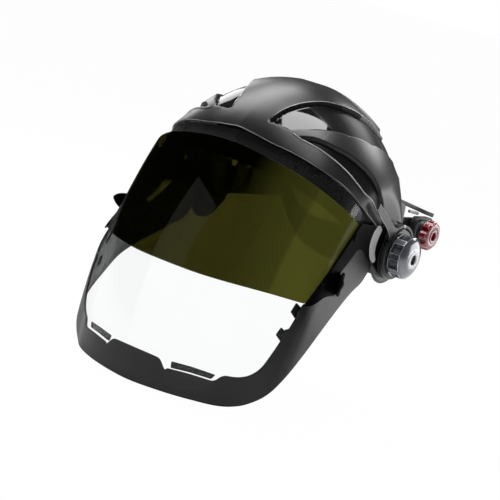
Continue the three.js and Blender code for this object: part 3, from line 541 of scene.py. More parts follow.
# ------------------------------------------------------------------ materials
def plastic(name, color, rough, grain=900, bump=0.1, spec=0.5, edge_pale=0.3, edge_pale_color=None,
            coat=0.0, metallic=0.0, specks=0.0, gloss_rough=None):
    """Moulded plastic: fine grain, smudges in the sheen and paler sharp edges.

    The edge strength sets how pale the sharp edges are. Given gloss_rough, the "gloss" attribute
    smooths the surface to that roughness and the painted-shade attribute takes away its sheen:
    painted shade, darkening places that the lamps would light.
    """
    material = bpy.data.materials.new(name)
    graph = Graph(material)
    coords = graph.coords()
    fine = graph.noise(coords, scale=grain, detail=3.0, Roughness=0.6)
    smudge = graph.noise(coords, scale=18.0, detail=5.0, Roughness=0.62)

    pointiness = graph.add("NewGeometry").outputs["Pointiness"]
    edges = graph.ramp(pointiness, [(0.50, 0.0), (0.56, 1.0)])
    paler = edge_pale_color or tuple(min(1, c) for c in scaled(color, 2.2, 0.02))
    tint = graph.mix("RGBA", graph.math("MULTIPLY", edges, edge_pale), rgba(color), rgba(paler))
    brightness = graph.map_range(smudge, low=1 - 0.06, high=1 + 0.06)
    tint = graph.add("HueSaturation", Color=tint, Value=brightness)
    if specks:
        dust = graph.noise(coords, scale=420.0, detail=1.0)
        spots = graph.ramp(dust, [(0.70, 0.0), (0.78, 1.0)])
        spots = graph.math("MULTIPLY", spots, specks)
        tint = graph.mix("RGBA", spots, tint, rgba((0.35, 0.35, 0.35)))

    roughness = graph.map_range(smudge, low=rough * 0.9, high=rough * 1.12, start=0.3, end=0.7)
    relief = graph.add("Bump", Distance=0.0001, Strength=bump, Height=fine)
    shader = graph.add("BsdfPrincipled", Base_Color=tint, Normal=relief, Metallic=metallic,
                       Specular_IOR_Level=spec, Coat_Weight=coat, Coat_Roughness=0.08)
    if gloss_rough is not None:
        gloss = graph.add("Attribute", attribute_name="gloss").outputs["Fac"]
        roughness = graph.mix("FLOAT", gloss, roughness, gloss_rough)
        satin = graph.math("SUBTRACT", 1.0, gloss)
        graph.feed(relief.inputs["Strength"], graph.math("MULTIPLY", satin, bump))
        # painted shade: this attribute takes away the sheen where the lamps would give a reflection
        painted_shade = graph.add("Attribute", attribute_name="painted_shade").outputs["Fac"]
        sheen = graph.math("SUBTRACT", 1.0, graph.math("MULTIPLY", painted_shade, 0.9))
        graph.feed(shader.inputs["Specular IOR Level"], graph.math("MULTIPLY", sheen, spec))
    graph.feed(shader.inputs["Roughness"], roughness)
    graph.finish(shader)
    return material


def sheet_glass(name, tint, ior, rough, haze, haze_color, reflection, painted_light_grade=False):
    """A thin polished sheet: tinted, with Fresnel reflection and a little haze.

    With the grade on, painted shade darkens the sheet toward -X and a painted glow, a cloudy body
    standing in for bright light from behind, lightens it toward +X.
    """
    material = bpy.data.materials.new(name)
    graph = Graph(material)
    coords = graph.coords()
    clear = graph.add("BsdfTransparent", Color=rgba(tint))
    cloud = graph.add("BsdfDiffuse", Color=rgba(haze_color))
    streak = graph.noise(coords, scale=26.0, detail=6.0, Roughness=0.7)
    haze_share = graph.map_range(streak, low=haze * 0.6, high=haze * 1.6, start=0.35, end=0.75)
    # painted light: shade toward -X, a glow toward +X
    if painted_light_grade:
        axes = graph.add("SeparateXYZ", Vector=graph.object_coords())
        across = graph.map_range(axes.outputs["X"], low=0.0, high=1.0, start=-0.1, end=0.1)
        shades = ((0.0, 0.42), (0.45, 0.70), (0.905, 0.86), (0.915, 1.22))
        graph.feed(clear.inputs["Color"],
                   graph.ramp(across, [(at, scaled(tint, k)) for at, k in shades]))
        shades = ((0.66, 0.45), (0.84, 0.85), (0.905, 1.1), (0.915, 1.55))
        graph.feed(cloud.inputs["Color"],
                   graph.ramp(across, [(at, scaled(haze_color, k)) for at, k in shades]))
        # the cloudy body toward +X is a painted glow
        body = graph.ramp(across, [(0.66, 0.0), (0.79, 0.45)])
        haze_share = graph.math("ADD", haze_share, body)
    wobble = graph.noise(coords, scale=9.0, detail=1.0)
    relief = graph.add("Bump", Distance=0.0004, Strength=0.05, Height=wobble)
    mirror = graph.add("BsdfGlossy", Roughness=rough, Normal=relief)
    graph.feed(mirror.inputs["Roughness"],
               graph.map_range(streak, low=rough * 0.6, high=rough * 1.6 + 0.01))
    fresnel = graph.add("Fresnel", IOR=ior)
    graph.finish(graph.mix_shader(graph.math("MULTIPLY", fresnel, reflection, clamp=True),
                                  graph.mix_shader(haze_share, clear, cloud), mirror))
    return material


def knit(name, color, scale=900.0):
    """Knitted facing: ribs of loops, fuzz and blotch."""
    material = bpy.data.materials.new(name)
    graph = Graph(material)
    coords = graph.coords()
    level, slanting = (
        graph.add("TexWave", Vector=coords, Scale=scale * 0.35, Distortion=1.2, Detail=1.0,
                  bands_direction=direction).outputs["Fac"]
        for direction in ("Z", "DIAGONAL"))
    fuzz = graph.noise(coords, scale=scale, detail=4.0)
    blotch = graph.noise(coords, scale=35.0, detail=3.0)
    weave = graph.math("MULTIPLY", level, slanting)
    height = graph.math("ADD", weave, graph.math("MULTIPLY", fuzz, 0.6))
    shade = graph.math("ADD", graph.math("MULTIPLY", weave, 0.6),
                       graph.math("MULTIPLY", blotch, 0.4))
    tint = graph.mix("RGBA", shade, rgba(scaled(color, 0.7)), rgba(scaled(color, 1.7, 0.004)))
    relief = graph.add("Bump", Distance=0.0005, Strength=0.7, Height=height)
    graph.finish(graph.add("BsdfPrincipled", Base_Color=tint, Roughness=0.92, Normal=relief,
                           Sheen_Weight=0.35, Sheen_Roughness=0.5, Specular_IOR_Level=0.2))
    return material


def brushed_steel(name):
    material = bpy.data.materials.new(name)
    graph = Graph(material)
    brushing = graph.noise(graph.coords(scale=(40, 1, 1)), scale=260.0, detail=3.0)
    tint = graph.ramp(brushing, [(0.3, (0.40, 0.41, 0.42)), (0.7, (0.62, 0.63, 0.64))])
    roughness = graph.ramp(brushing, [(0.2, 0.22), (0.8, 0.42)])
    relief = graph.add("Bump", Distance=0.0001, Strength=0.3, Height=brushing)
    graph.finish(graph.add("BsdfPrincipled", Metallic=1.0, Base_Color=tint, Roughness=roughness,
                           Normal=relief))
    return material


def pale_floor(name):
    """White to the camera, pale grey to every other ray."""
    material = bpy.data.materials.new(name)
    graph = Graph(material)
    cloudy = graph.noise(graph.coords(), scale=3.0, detail=2.0)
    diffuse = graph.add("BsdfDiffuse", Color=graph.ramp(cloudy, [(0.3, 0.80), (0.7, 0.83)]))
    glow = graph.add("Emission", Strength=1.0)
    seen = graph.add("LightPath").outputs["Is Camera Ray"]
    graph.finish(graph.mix_shader(graph.math("MULTIPLY", seen, 0.985), diffuse, glow))
    return material


CROWN_SATIN = plastic("crown_satin", (0.0085, 0.0086, 0.0095), rough=0.34, grain=1100, bump=0.18,
                      edge_pale=0.25, specks=0.02, gloss_rough=0.05)
CHIN_SATIN = plastic("chin_satin", (0.0105, 0.0106, 0.0115), rough=0.42, grain=1100, bump=0.25,
                     spec=0.45, edge_pale=0.35, specks=0.02)
SHROUD_SATIN = plastic("shroud_satin", (0.0085, 0.0086, 0.0095), rough=0.36, grain=1100,
                       bump=0.22)
CARRIER_BLACK = plastic("carrier_black", (0.0016, 0.0016, 0.0018), rough=0.5, grain=500,
                        bump=0.06, spec=0.02, edge_pale=0.05)
FITTING_BLACK = plastic("fitting_black", (0.007, 0.007, 0.008), rough=0.28, bump=0.12)
BAND_BLACK = plastic("band_black", (0.0035, 0.0035, 0.004), rough=0.55, grain=700, bump=0.08,
                     spec=0.12, edge_pale=0.1)
DRUM_BLACK = plastic("drum_black", (0.008, 0.008, 0.009), rough=0.30, grain=700, edge_pale=0.6)
KNOB_SILVER = plastic("knob_silver", (0.12, 0.128, 0.15), rough=0.20, grain=500, bump=0.05,
                      spec=0.6, edge_pale=0.8, coat=0.6, metallic=0.6, edge_pale_color=(0.62, 0.64, 0.68))
# near-white ring: a painted reflection of the bright surroundings on the knob's face
KNOB_RING = plastic("knob_ring", (0.86, 0.87, 0.88), rough=0.25, grain=500, bump=0.05, spec=0.7,
                    coat=0.4, metallic=0.05)
INDEX_GREY = plastic("index_grey", (0.10, 0.103, 0.108), rough=0.38, bump=0.2, edge_pale=0.7)
HOUSING_GREY = plastic("housing_grey", (0.016, 0.0162, 0.018), rough=0.42, grain=1000, bump=0.25,
                       edge_pale=0.6)
# its pale pink edges are a painted highlight along the dial's rims
DIAL_RED = plastic("dial_red", (0.155, 0.005, 0.012), rough=0.16, grain=500, bump=0.04, spec=0.6,
                   edge_pale=0.9, coat=0.6, edge_pale_color=(0.72, 0.17, 0.20))
STRAP_NYLON = plastic("strap_nylon", (0.010, 0.010, 0.011), rough=0.45, grain=800, bump=0.3,
                      spec=0.4, edge_pale=0.4)
TAB_PALE = plastic("tab_pale", (0.42, 0.43, 0.44), rough=0.40, bump=0.15)
FOAM_KNIT = knit("foam_knit", (0.010, 0.010, 0.011))
ZINC_STEEL = brushed_steel("zinc_steel")
WINDOW_CLEAR = sheet_glass("window_clear", (0.985, 0.99, 0.99), ior=1.50, rough=0.02, haze=0.006,
                           haze_color=(0.8, 0.8, 0.8), reflection=0.05)
# the olive lens is graded with painted light: shade toward -X, a glow toward +X
LENS_OLIVE = sheet_glass("lens_olive", (0.225, 0.217, 0.083), ior=1.52, rough=0.015, haze=0.006,
                         haze_color=(0.11, 0.115, 0.02), reflection=0.12, painted_light_grade=True)
# pale grey lip colour: a painted highlight along the brim's lower edge
LIP_HIGHLIGHT_PAINT = plastic("brim_lip_painted_highlight", (0.10, 0.101, 0.105), rough=0.26, grain=1100, spec=0.7,
                    coat=0.3)
# pale edge colour: painted highlights along the cover's and the shroud's edges
EDGE_HIGHLIGHT_PAINT = plastic("painted_edge_highlight", (0.48, 0.485, 0.50), rough=0.26, grain=1100, spec=0.9,
                     coat=0.5)
# pale grey crescent colour: a painted highlight on the carrier's ear
CRESCENT_HIGHLIGHT_PAINT = plastic("painted_crescent_highlight", (0.55, 0.55, 0.56), rough=0.42, bump=0.12)
BOLT_BLACK = plastic("bolt_black_oxide", (0.02, 0.02, 0.022), rough=0.35, grain=400, edge_pale=0.6,
                     metallic=0.6)

# ------------------------------------------------------------------ outlines on the shell
# Points are (phi, h) or (phi, h, corner radius).
BRIM_PHI = [0, 20, 37.5, 51.8, 59.8, 67.9, 76, 87, 98, 111, 130]
BRIM_HEIGHT = [31, 27.2, 25.6, 23.2, 21.6, 19.95, 17.5, 14.4, 12.8, 11.6, 10]


def below_brim(phis, drop):
    return [(phi, float(np.interp(phi, BRIM_PHI, BRIM_HEIGHT)) - drop) for phi in phis]


SIDE_PHIS, FRONT_PHIS = (98, 87, 76, 67.9, 59.8, 51.8), (37.5, 28, 20, 10, 0)
CHIN_LOW = [
    (0, -192.1), (14.9, -190.5), (28.8, -188.1), (42.5, -184.6), (50, -182.6), (57.7, -179.4),
    (66.1, -174.2), (73, -168.2), (81.4, -160), (89.6, -149.7), (100.6, -135), (113.2, -113.4),
    (123.5, -93.3), (133.8, -73.2), (141.5, -57), (147.5, -45.5), (154, -37.5)]
CHIN_TOP = [
    (118, -8, 5), (112.5, -24, 20), (104, -42, 20), (96, -58, 20), (87.5, -75, 3),
    (86.3, -77.4, 1.5), (81.6, -79.5, 1.5), (79.4, -88, 3), (80.8, -90.7, 1.5),
    (79.1, -102.8, 3), (76.4, -104, 1.2), (75.3, -110, 3), (77, -112, 1.5), (75.5, -120.8, 20),
    (74, -127.5, 20), (71.5, -138.5, 20), (68, -145.3, 20), (63.5, -150.7, 20),
    (57.5, -155, 20), (49.4, -157.9, 4), (45.9, -165.4, 4), (32.1, -167.8, 20), (20, -171, 2),
    (19.1, -173, 2), (14.7, -166.1, 3), (0, -166.2, 20)]
LENS_TOP = [(0, 17), (10, 16.2), (17.3, 14.9), (32.2, 12.9), (46.9, 9.7), (62.2, 5.4), (78, 2),
            (95, -1, 4)]
LENS_LOW = [(93, -30), (88.5, -60), (84.5, -76, 6), (80, -79.6), (69.5, -81.9), (57.7, -84.5),
            (43.3, -88.4), (29.5, -91.9), (16.6, -94.2), (0, -94.9)]
WINDOW_HALF = [
    (0, -189), (30, -185), (50, -179), (66, -170.5), (78, -159), (88, -146), (98, -131),
    (108, -113), (116, -95), (121, -78), (121, -62), (118, -40), (114, -15), (112, 2, 6),
    *((*p, 4) for p in below_brim([108], 3)), *below_brim(SIDE_PHIS + FRONT_PHIS, 1.6)]
BAND_HALF = [
    (0, 4), (30, 2.5), (60, -2), (84, -8), (104, -12, 4),
    *((*p, 3) for p in below_brim([107], 2)),
    *below_brim(SIDE_PHIS, 1.4), *below_brim(FRONT_PHIS, 0.6)]
CARRIER_LOW = [
    (92.5, 1.6, 5), (91.5, -8), (88.5, -30), (84.5, -55), (79, -80.6, 2.5), (80.1, -81.4, 2),
    (85.5, -78.4), (90, -73), (95.5, -66.9), (102, -64.2), (108.5, -61.5), (113, -58.5),
    (117.3, -54.1), (119.6, -50.6, 4), (118.8, -47.2, 4), (112, -44.3), (104, -43.4),
    (101.3, -42.8, 5), (106.9, -29.7), (110.1, -18.2, 6), (116.2, -15.3), (133.2, -13.3),
    (146, -16.5), (152, -19.3)]
CARRIER_TOP = [(146, 16), (138, 13.8), (130, 11.3), (118, 8), (105, 4.2)]
CHIN_EAR_RADIUS, CARRIER_EAR_RADIUS = 24.0, 22.5


def ear_on_side(radius, start, end, n):
    """Arc round the pivot, on the flat side."""
    out = []
    for i in range(n + 1):
        a = math.radians(start + (end - start) * i / n)
        out.append((*leaning_side_point(radius * math.cos(a), radius * math.sin(a)), SOFT_CORNER))
    return out


def pivot_bore(side, n=40, radius=3.3):
    """Pivot hole as (arc length, h)."""
    out = []
    for i in range(n):
        a = 2 * math.pi * i / n
        phi, h = leaning_side_point(radius * math.cos(a), radius * math.sin(a))
        out.append((float(arc_of(side * phi)), h))
    return out


# ------------------------------------------------------------------ crown cover
# The cover is drawn by direction: alpha is the angle out from the middle plane, beta the angle
# round the X axis, rising from the front. Both are in degrees.
CROWN_A, CROWN_B, CROWN_C = 112.2, 114.1, 132.8    # ellipsoid radii along x, y and z
CROWN_Y, CROWN_Z = -40.2, -11.8                    # ellipsoid centre
# alpha against beta: the middle rib's edge, the upper recess's outer edge, the lower
# recess's inner edge
RIB_EDGE = ([49.9, 58.2, 65, 74, 85, 98, 115, 135],
            [10.2, 11.7, 14.4, 18, 23.2, 27.2, 28.5, 28.5])
UPPER_EDGE = ([49.9, 56.2, 63.2, 73.6, 89.2, 105, 118.5, 135],
              [19.9, 25.9, 30.6, 37.4, 42.8, 43.6, 43, 41])
LOWER_EDGE = ([48.7, 54.6, 60.7, 70.3, 79, 87, 100, 110, 120],
              [23.2, 29.4, 38, 47.6, 54.7, 62.3, 67.3, 69.3, 71.5])
# beta against alpha: the brim's top line
BRIM_LINE = ([0, 4.8, 18.7, 25.5, 37.1, 44.7, 52.1, 59.8, 68.8, 71.8],
             [46.5, 47, 49.7, 49.5, 52.8, 55.5, 58.6, 63.4, 84.1, 114.4])
# (alpha, beta) along the brim's edge and the rear edge, from the middle outward
BRIM_DIRECTION = np.array([
    [0, 41.7], [9.2, 41], [17.3, 40.9], [24.3, 41.5], [31.2, 42.4], [36.5, 43.2], [41.5, 44.4],
    [46.8, 46.2], [51.9, 48.8], [56.9, 51.9], [62.3, 56], [66.5, 63.8], [70.6, 78.7],
    [73.2, 110.9], [72, 130]])
REAR_DIRECTION = np.array([
    [0, 127], [7, 126.5], [13.5, 125.5], [20, 123.5], [26, 121.5], [31.5, 120], [36.5, 119],
    [41, 118.5], [45, 119], [48.2, 121.5], [50.8, 126], [53.2, 132], [55.4, 139], [56.4, 147],
    [56.5, 156]])
# (x, y, z) of the brim's edge
BRIM_EDGE = np.array([
    [0, -125, 75.9], [17.9, -124.5, 73.6], [33.4, -122.4, 70.9], [46.4, -118.6, 69],
    [59.3, -113.6, 66.2], [68.5, -108.9, 63.3], [76.6, -103.1, 60], [84.2, -95.9, 55.9],
    [90.3, -87.7, 51.3], [94.6, -78.9, 45.7], [98.2, -69.7, 39.2], [98.9, -59.6, 34.1],
    [98.4, -47.2, 28.5], [97.6, -29.5, 20.7], [97.1, -19.6, 16.8]])
# greatest radius about the pivot axis, over the front, against x
SWEEP = ([0, 8, 16, 24, 32, 40, 48, 60, 112],
         [146.1, 145.7, 144.9, 143.7, 141.9, 139.5, 136.7, 131, 131])
GRID_ACROSS, GRID_BACK = 380, 170
ROWS = np.linspace(0, 1, GRID_BACK + 1) ** 0.9    # 0 at the brim, 1 at the rear edge
RECESS_DEPTH, COVER_THICK, COVER_THICK_AT_BRIM = 3.7, 2.1, 1.6


def crown_base(alpha, beta):
    """The ellipsoid, flattened at the sides and kept within the sweep."""
    alpha, beta = np.radians(alpha), np.radians(beta)
    x = np.abs(CROWN_A * np.sin(alpha))
    y = CROWN_Y - CROWN_B * np.cos(alpha) * np.cos(beta)
    z = CROWN_Z + CROWN_C * np.cos(alpha) * np.sin(beta)
    radius = np.hypot(y, z)
    x = -soft_min(-x, -(85 - 1.2 * np.maximum(0, radius - 62)), 6)
    x = soft_min(x, 97.2 + 0.05 * (radius - 25), 1.5)
    swept = soft_min(radius, np.interp(x, *SWEEP), 1.2) / radius
    shrink = np.where((y < -60) & (x < 60), swept, 1.0)
    return np.stack([x, y * shrink, z * shrink], -1)


def smoothed_table(table, k):
    """The table at fractional index k, rounded at its knots."""
    n = len(table) - 1
    i = np.clip(np.floor(k).astype(int), 0, n - 1)
    u = (k - i)[..., None]
    p0, p1 = table[np.maximum(0, i - 1)].copy(), table[i]
    p2, p3 = table[i + 1], table[np.minimum(n, i + 2)]
    if table.shape[1] == 2:
        p0[i == 0, 0] = -table[1, 0]    # direction tables mirror across the middle
    return 0.5 * ((2 * p1) + (-p0 + p2) * u + (2 * p0 - 5 * p1 + 4 * p2 - p3) * u**2
                  + (-p0 + 3 * p1 - 3 * p2 + p3) * u**3)


def recess(alpha, beta):
    """Share of full depth, 0 to 1, of the upper and lower recesses."""
    alpha = np.abs(alpha)
    above = beta - np.interp(alpha, *BRIM_LINE)
    rib, outer, lower_edge = (np.interp(beta, *t) for t in (RIB_EDGE, UPPER_EDGE, LOWER_EDGE))
    upper = ease((alpha - rib) / 0.8) * ease((outer - alpha) / 1.5) * ease(above / 1.5)
    lower = np.where(beta < 118, ease((alpha - lower_edge) / 1.7) * ease(above / 1.0), 0)
    return np.maximum(upper, lower * 0.85)


def crown_grid():
    """Grid of cover points from right to left and brim to rear, with alpha and beta."""
    across, back = np.meshgrid(np.linspace(-1, 1, GRID_ACROSS + 1), ROWS, indexing="ij")
    k = np.abs(across) * (len(BRIM_DIRECTION) - 1)
    brim, rear = smoothed_table(BRIM_DIRECTION, k), smoothed_table(REAR_DIRECTION, k)
    edge = smoothed_table(BRIM_EDGE, k)
    alpha = brim[..., 0] + (rear[..., 0] - brim[..., 0]) * back
    beta = brim[..., 1] + (rear[..., 1] - brim[..., 1]) * back
    pull = np.maximum(0, 1 - back / 0.35) ** 2
    points = crown_base(np.abs(alpha), beta)
    points = points + (edge - crown_base(np.abs(brim[..., 0]), brim[..., 1])) * pull[..., None]
    points[..., 0] = np.abs(points[..., 0]) * np.sign(across)
    return points, alpha, beta


def grid_normals(points, centre=(0, -40.0, 0)):
    """Unit normals of a grid, pointing away from the centre."""
    def differences(grid):
        out = np.empty_like(grid)
        out[1:-1], out[0], out[-1] = grid[2:] - grid[:-2], grid[1] - grid[0], grid[-1] - grid[-2]
        return out

    back = differences(points.swapaxes(0, 1)).swapaxes(0, 1)
    normals = np.cross(differences(points), back)
    normals /= np.maximum(np.linalg.norm(normals, axis=-1, keepdims=True), 1e-9)
    normals[((points - np.array(centre)) * normals).sum(-1) < 0] *= -1
    return normals


crown_points, crown_alpha, crown_beta = crown_grid()
crown_normals = grid_normals(crown_points)


def grid_index(i, j):
    return i * (GRID_BACK + 1) + j


def crown_skins(dip):
    """Outer and inner skins of the cover."""
    depth = RECESS_DEPTH * dip * (1 - 0.55 * ease((ROWS[None, :] - 0.86) / 0.14))
    outer = crown_points - crown_normals * depth[..., None]
    # narrower near the pivot, clear of the arms' ears
    radius = np.hypot(outer[..., 1], outer[..., 2])
    limit = 93.4 + 8.0 * ease((radius - 26.0) / 1.0)
    outer[..., 0] = np.sign(outer[..., 0]) * np.minimum(np.abs(outer[..., 0]), limit)
    thick = np.full(dip.shape, COVER_THICK)
    thick[:, 0] = COVER_THICK_AT_BRIM
    inner = outer - crown_normals * thick[..., None]
    x = np.abs(inner[..., 0])
    x = np.where(radius < 27.5, np.minimum(x, np.abs(outer[..., 0]) - 1.5), x)
    inner[..., 0] = np.sign(inner[..., 0]) * x
    return outer.reshape(-1, 3), inner.reshape(-1, 3)


def crown_attributes(dip, verts):
    """gloss in the recesses; painted shade, with the sheen taken away, in their high and lower
    parts and toward the right.
    """
    n = dip.size
    beta = crown_beta.reshape(-1)
    sunk = ease((dip.reshape(-1) - 0.55) / 0.35)
    beyond = (np.abs(crown_alpha) > np.interp(crown_beta, *LOWER_EDGE) - 1).reshape(-1)
    gloss, painted_shade = np.zeros(len(verts)), np.zeros(len(verts))
    # painted shade: the high and lower parts of the recesses lose their reflection
    shade_share = sunk * np.maximum(ease((beta - 67) / 2.5), beyond.astype(float))
    gloss[:n] = sunk * (1 - shade_share)
    # more painted shade, at a little over half strength, toward the right
    painted_shade[:n] = np.maximum(shade_share, 0.55 * sunk * (verts[:n, 0] < 0))
    return {"gloss": gloss, "painted_shade": painted_shade}


def build_crown():
    dip = recess(crown_alpha, crown_beta)
    outer, inner = crown_skins(dip)
    n_skin, faces = len(outer), []
    for i in range(GRID_ACROSS):
        for j in range(GRID_BACK):
            a, b = grid_index(i, j), grid_index(i + 1, j)
            c, d = grid_index(i + 1, j + 1), grid_index(i, j + 1)
            faces.append((a, b, c, d))
            faces.append((a + n_skin, d + n_skin, c + n_skin, b + n_skin))
    # rounded rim between the two skins
    border = [(i, 0) for i in range(GRID_ACROSS)]
    border += [(GRID_ACROSS, j) for j in range(GRID_BACK)]
    border += [(i, GRID_BACK) for i in range(GRID_ACROSS, 0, -1)]
    border += [(0, j) for j in range(GRID_BACK, 0, -1)]
    rim = np.array([grid_index(i, j) for i, j in border])
    next_in = np.array([grid_index(min(max(i, 1), GRID_ACROSS - 1), min(max(j, 1), GRID_BACK - 1))
                        for i, j in border])
    middle, axis = (outer[rim] + inner[rim]) / 2, outer[rim] - inner[rim]
    thick = np.linalg.norm(axis, axis=1, keepdims=True)
    axis = axis / thick
    outward = outer[rim] - outer[next_in]
    outward = outward - axis * (outward * axis).sum(1, keepdims=True)
    outward /= np.maximum(np.linalg.norm(outward, axis=1, keepdims=True), 1e-9)
    verts, rings, m = [outer, inner], [rim], len(rim)
    for k, angle in enumerate(map(math.radians, (45, 90, 135))):
        verts.append(middle + axis * thick / 2 * math.cos(angle)
                     + outward * (thick * 0.32) * math.sin(angle))
        rings.append(np.arange(m) + 2 * n_skin + k * m)
    rings.append(rim + n_skin)
    for a, b in zip(rings[:-1], rings[1:]):
        for i in range(m):
            j = (i + 1) % m
            faces.append((a[i], a[j], b[j], b[i]))
    verts = np.concatenate(verts)
    ob = new_object("crown_cover_shell", verts, faces, CROWN_SATIN, sharp=60,
                    attributes=crown_attributes(dip, verts))
    fit(ob, "shield", "cover_shell", "crown_cover")


PIVOT_HOLE = (0, 0, 3.2)    # y, z, radius
CROWN_EAR = arc(20, 195, 345, 24) + [
    (20, 6, 4), (17, 26, 8), (15, 40, 3), (10, 42, 3), (-22, 42, 3), (-26, 38, 3), (-24, 22, 8),
    (-20.4, 4, 8)]

build_crown()
for label, side in SIDES:
    fit(plate(f"crown_ear_{label}", rounded(CROWN_EAR), (91.2, 93.3), 0.5, side, SHROUD_SATIN,
              hole=PIVOT_HOLE), "shield", "cover_shell")

# ------------------------------------------------------------------ sheets on the shell
fit(shell_sheet("window_mount_band_sheet", both(BAND_HALF), BAND_DEPTH, 0.6, BAND_BLACK, step=5),
    "shield", "fittings", "window_mount_band")
fit(shell_sheet("clear_window_sheet", both(WINDOW_HALF), (-WINDOW_THICK / 2, WINDOW_THICK / 2),
                0.5, WINDOW_CLEAR, step=5), "shield", "clear_window", "clear_window")
fit(shell_sheet("shade_lens_sheet", both(LENS_LOW[::-1] + LENS_TOP[::-1]), LENS_DEPTH, 0.5,
                LENS_OLIVE), "flip_visor", "shade_lens", "shade_lens")
chin_ear = ear_on_side(CHIN_EAR_RADIUS, -128, 160, 40)
fit(shell_sheet("chin_guard_shell", both(CHIN_LOW + chin_ear + CHIN_TOP), CHIN_DEPTH, 0.9,
                CHIN_SATIN, holes=[pivot_bore(1), pivot_bore(-1)]),
    "shield", "chin_shell", "chin_guard")
for label, side in SIDES:
    limb = (rounded(CARRIER_LOW) + ear_on_side(CARRIER_EAR_RADIUS, -112, 140, 36)
            + rounded(CARRIER_TOP))
    fit(shell_sheet(f"visor_carrier_{label}_limb", on_side(limb, side), CARRIER_DEPTH, 0.8,
                    CARRIER_BLACK, holes=[pivot_bore(side)], step=3.5),
        "flip_visor", "carrier", f"visor_carrier_{label}")


# ------------------------------------------------------------------ painted highlights on the cover's edges
def crown_at(alpha, beta):
    """The grid point, and its normal, nearest to a direction."""
    signed = np.abs(crown_alpha) * np.sign(crown_points[..., 0] + 1e-9)
    miss = (signed - alpha) ** 2 + (crown_beta - beta) ** 2
    i = np.unravel_index(np.argmin(miss), miss.shape)
    return crown_points[i], crown_normals[i]


def line_stations(points, normals):
    """Strap stations along a line of points, facing the normals."""
    along = unit(np.gradient(points, axis=0))
    across = [np.cross(t, n) for t, n in zip(along, normals)]
    return [(p, a / np.linalg.norm(a), n) for p, a, n in zip(points, across, normals)]


def bead(name, track, radius, lift):
    """A pale bead over the cover, a painted highlight, along a track of (alpha, beta), thinned at
    its ends.
    """
    found = [crown_at(alpha, beta) for alpha, beta in track]
    normals = [n for _, n in found]
    points = np.array([p + n * lift for p, n in found])
    for _ in range(6):
        points[1:-1] = (points[:-2] + 2 * points[1:-1] + points[2:]) / 4
    widths = np.interp(np.linspace(0, 1, 40), [0, 0.08, 0.92, 1], [0.3, 1, 1, 0.3]) * 2 * radius
    fit(strip(name, line_stations(points, normals), widths, 2 * radius, EDGE_HIGHLIGHT_PAINT,
              corner=radius * 0.95, spacing=1.6), "shield", "cover_shell")


for label, side in SIDES:
    bead(f"brim_line_{label}", [(side * a, float(np.interp(a, *BRIM_LINE)) - 0.25)
                                for a in np.linspace(22, 70.8, 60)], radius=0.5, lift=0.35)
    bead(f"rib_rim_{label}", [(side * (float(np.interp(b, *RIB_EDGE)) - 0.3), b)
                              for b in np.linspace(52, 122, 50)], radius=0.30, lift=0.02)

# pale strip along the brim's lower edge: a painted highlight
lip_columns = [int(round((u + 1) / 2 * GRID_ACROSS)) for u in np.linspace(-0.97, 0.97, 120)]
lip_stations = line_stations(crown_points[lip_columns, 0], crown_normals[lip_columns, 0])
fit(strip("brim_lip", [(p - n * 0.25, a, n) for p, a, n in lip_stations], 0.8, 0.8, LIP_HIGHLIGHT_PAINT,
          corner=0.38, spacing=2.0), "shield", "cover_shell")

# ------------------------------------------------------------------ small pieces on the shell
# strips behind the chin guard's top edge, as (phi, h)
FOOT_STRIP = [(21.2, -169.6), (32.1, -166.7), (44.6, -164.5), (46.2, -160.0), (32.1, -162.0),
              (20.6, -164.6)]
# clips on the arm's inner edge: name, then phi and h at the top and at the foot
ARM_CLIPS = (("upper", 81.0, -80.6, 79.8, -90.2), ("lower", 77.9, -103.4, 76.2, -111.6))
# painted highlight on the carrier, in front of the knob: a pale crescent, as (y, z)
CARRIER_HIGHLIGHT_OUTLINE = [
    (-24.5, -7.0), (-27.5, -9.5), (-33.0, -6.8), (-39.0, -0.6), (-43.2, 6.5), (-44.2, 13.8),
    (-42.2, 20.2), (-36.5, 24.2), (-27.5, 20.5), (-30.5, 12.5), (-31.2, 6.0), (-29.5, -0.5)]
GRIP_LENGTH, GRIP_WIDTH, GRIP_THICK = 33.0, 20, 3.0

for label, side in SIDES:
    fit(shell_sheet(f"foot_strip_{label}", on_side(rounded(FOOT_STRIP, 1.0), side), BAND_DEPTH,
                    0.5, FITTING_BLACK, step=3, edge=1.5), "shield", "chin_shell")

for label, side in SIDES:
    for end, phi0, h0, phi1, h1 in ARM_CLIPS:
        quad = [(phi0 - 2.3, h0 - 0.6), (phi1 - 2.1, h1 + 0.4), (phi1 + 4.5, h1 - 2.5),
                (phi0 + 4.5, h0 - 2.5)]
        fit(shell_sheet(f"arm_clip_{label}_{end}_bar", on_side(rounded(quad, 0.8), side),
                        CLIP_DEPTH, 0.5, FITTING_BLACK, step=3, edge=1.5),
            "shield", "fittings", f"arm_clip_{label}_{end}")

# pale crescent sheets on the carriers: painted highlights
for label, side in SIDES:
    highlight_outline = [(*side_point(y, z), 3.0) for y, z in CARRIER_HIGHLIGHT_OUTLINE]
    fit(shell_sheet(f"carrier_painted_highlight_{label}", on_side(highlight_outline, side), (6.3, 7.12), 0.35,
                    CRESCENT_HIGHLIGHT_PAINT, step=3, edge=1.5), "flip_visor", "carrier")

# round-ended grip tab of each carrier
for label, side in SIDES:
    root = shell(side * 113.0, -50.0, 6.0)
    dx, dy, dz = SWELL_DIRECTION
    reach = GRIP_LENGTH * np.array([dx * side, dy, dz])
    shares = np.linspace(-0.035, 1, 12)
    fit(strip(f"visor_grip_{label}",
              [(root + t * reach, (0, 0, 1), (0.872 * side, 0.489, 0)) for t in shares],
              [GRIP_WIDTH * math.sqrt(1.02 - max(0, t) ** 2) for t in shares],
              GRIP_THICK, CARRIER_BLACK, corner=1.3, spacing=1.2, bulge=0.15),
        "flip_visor", "carrier")

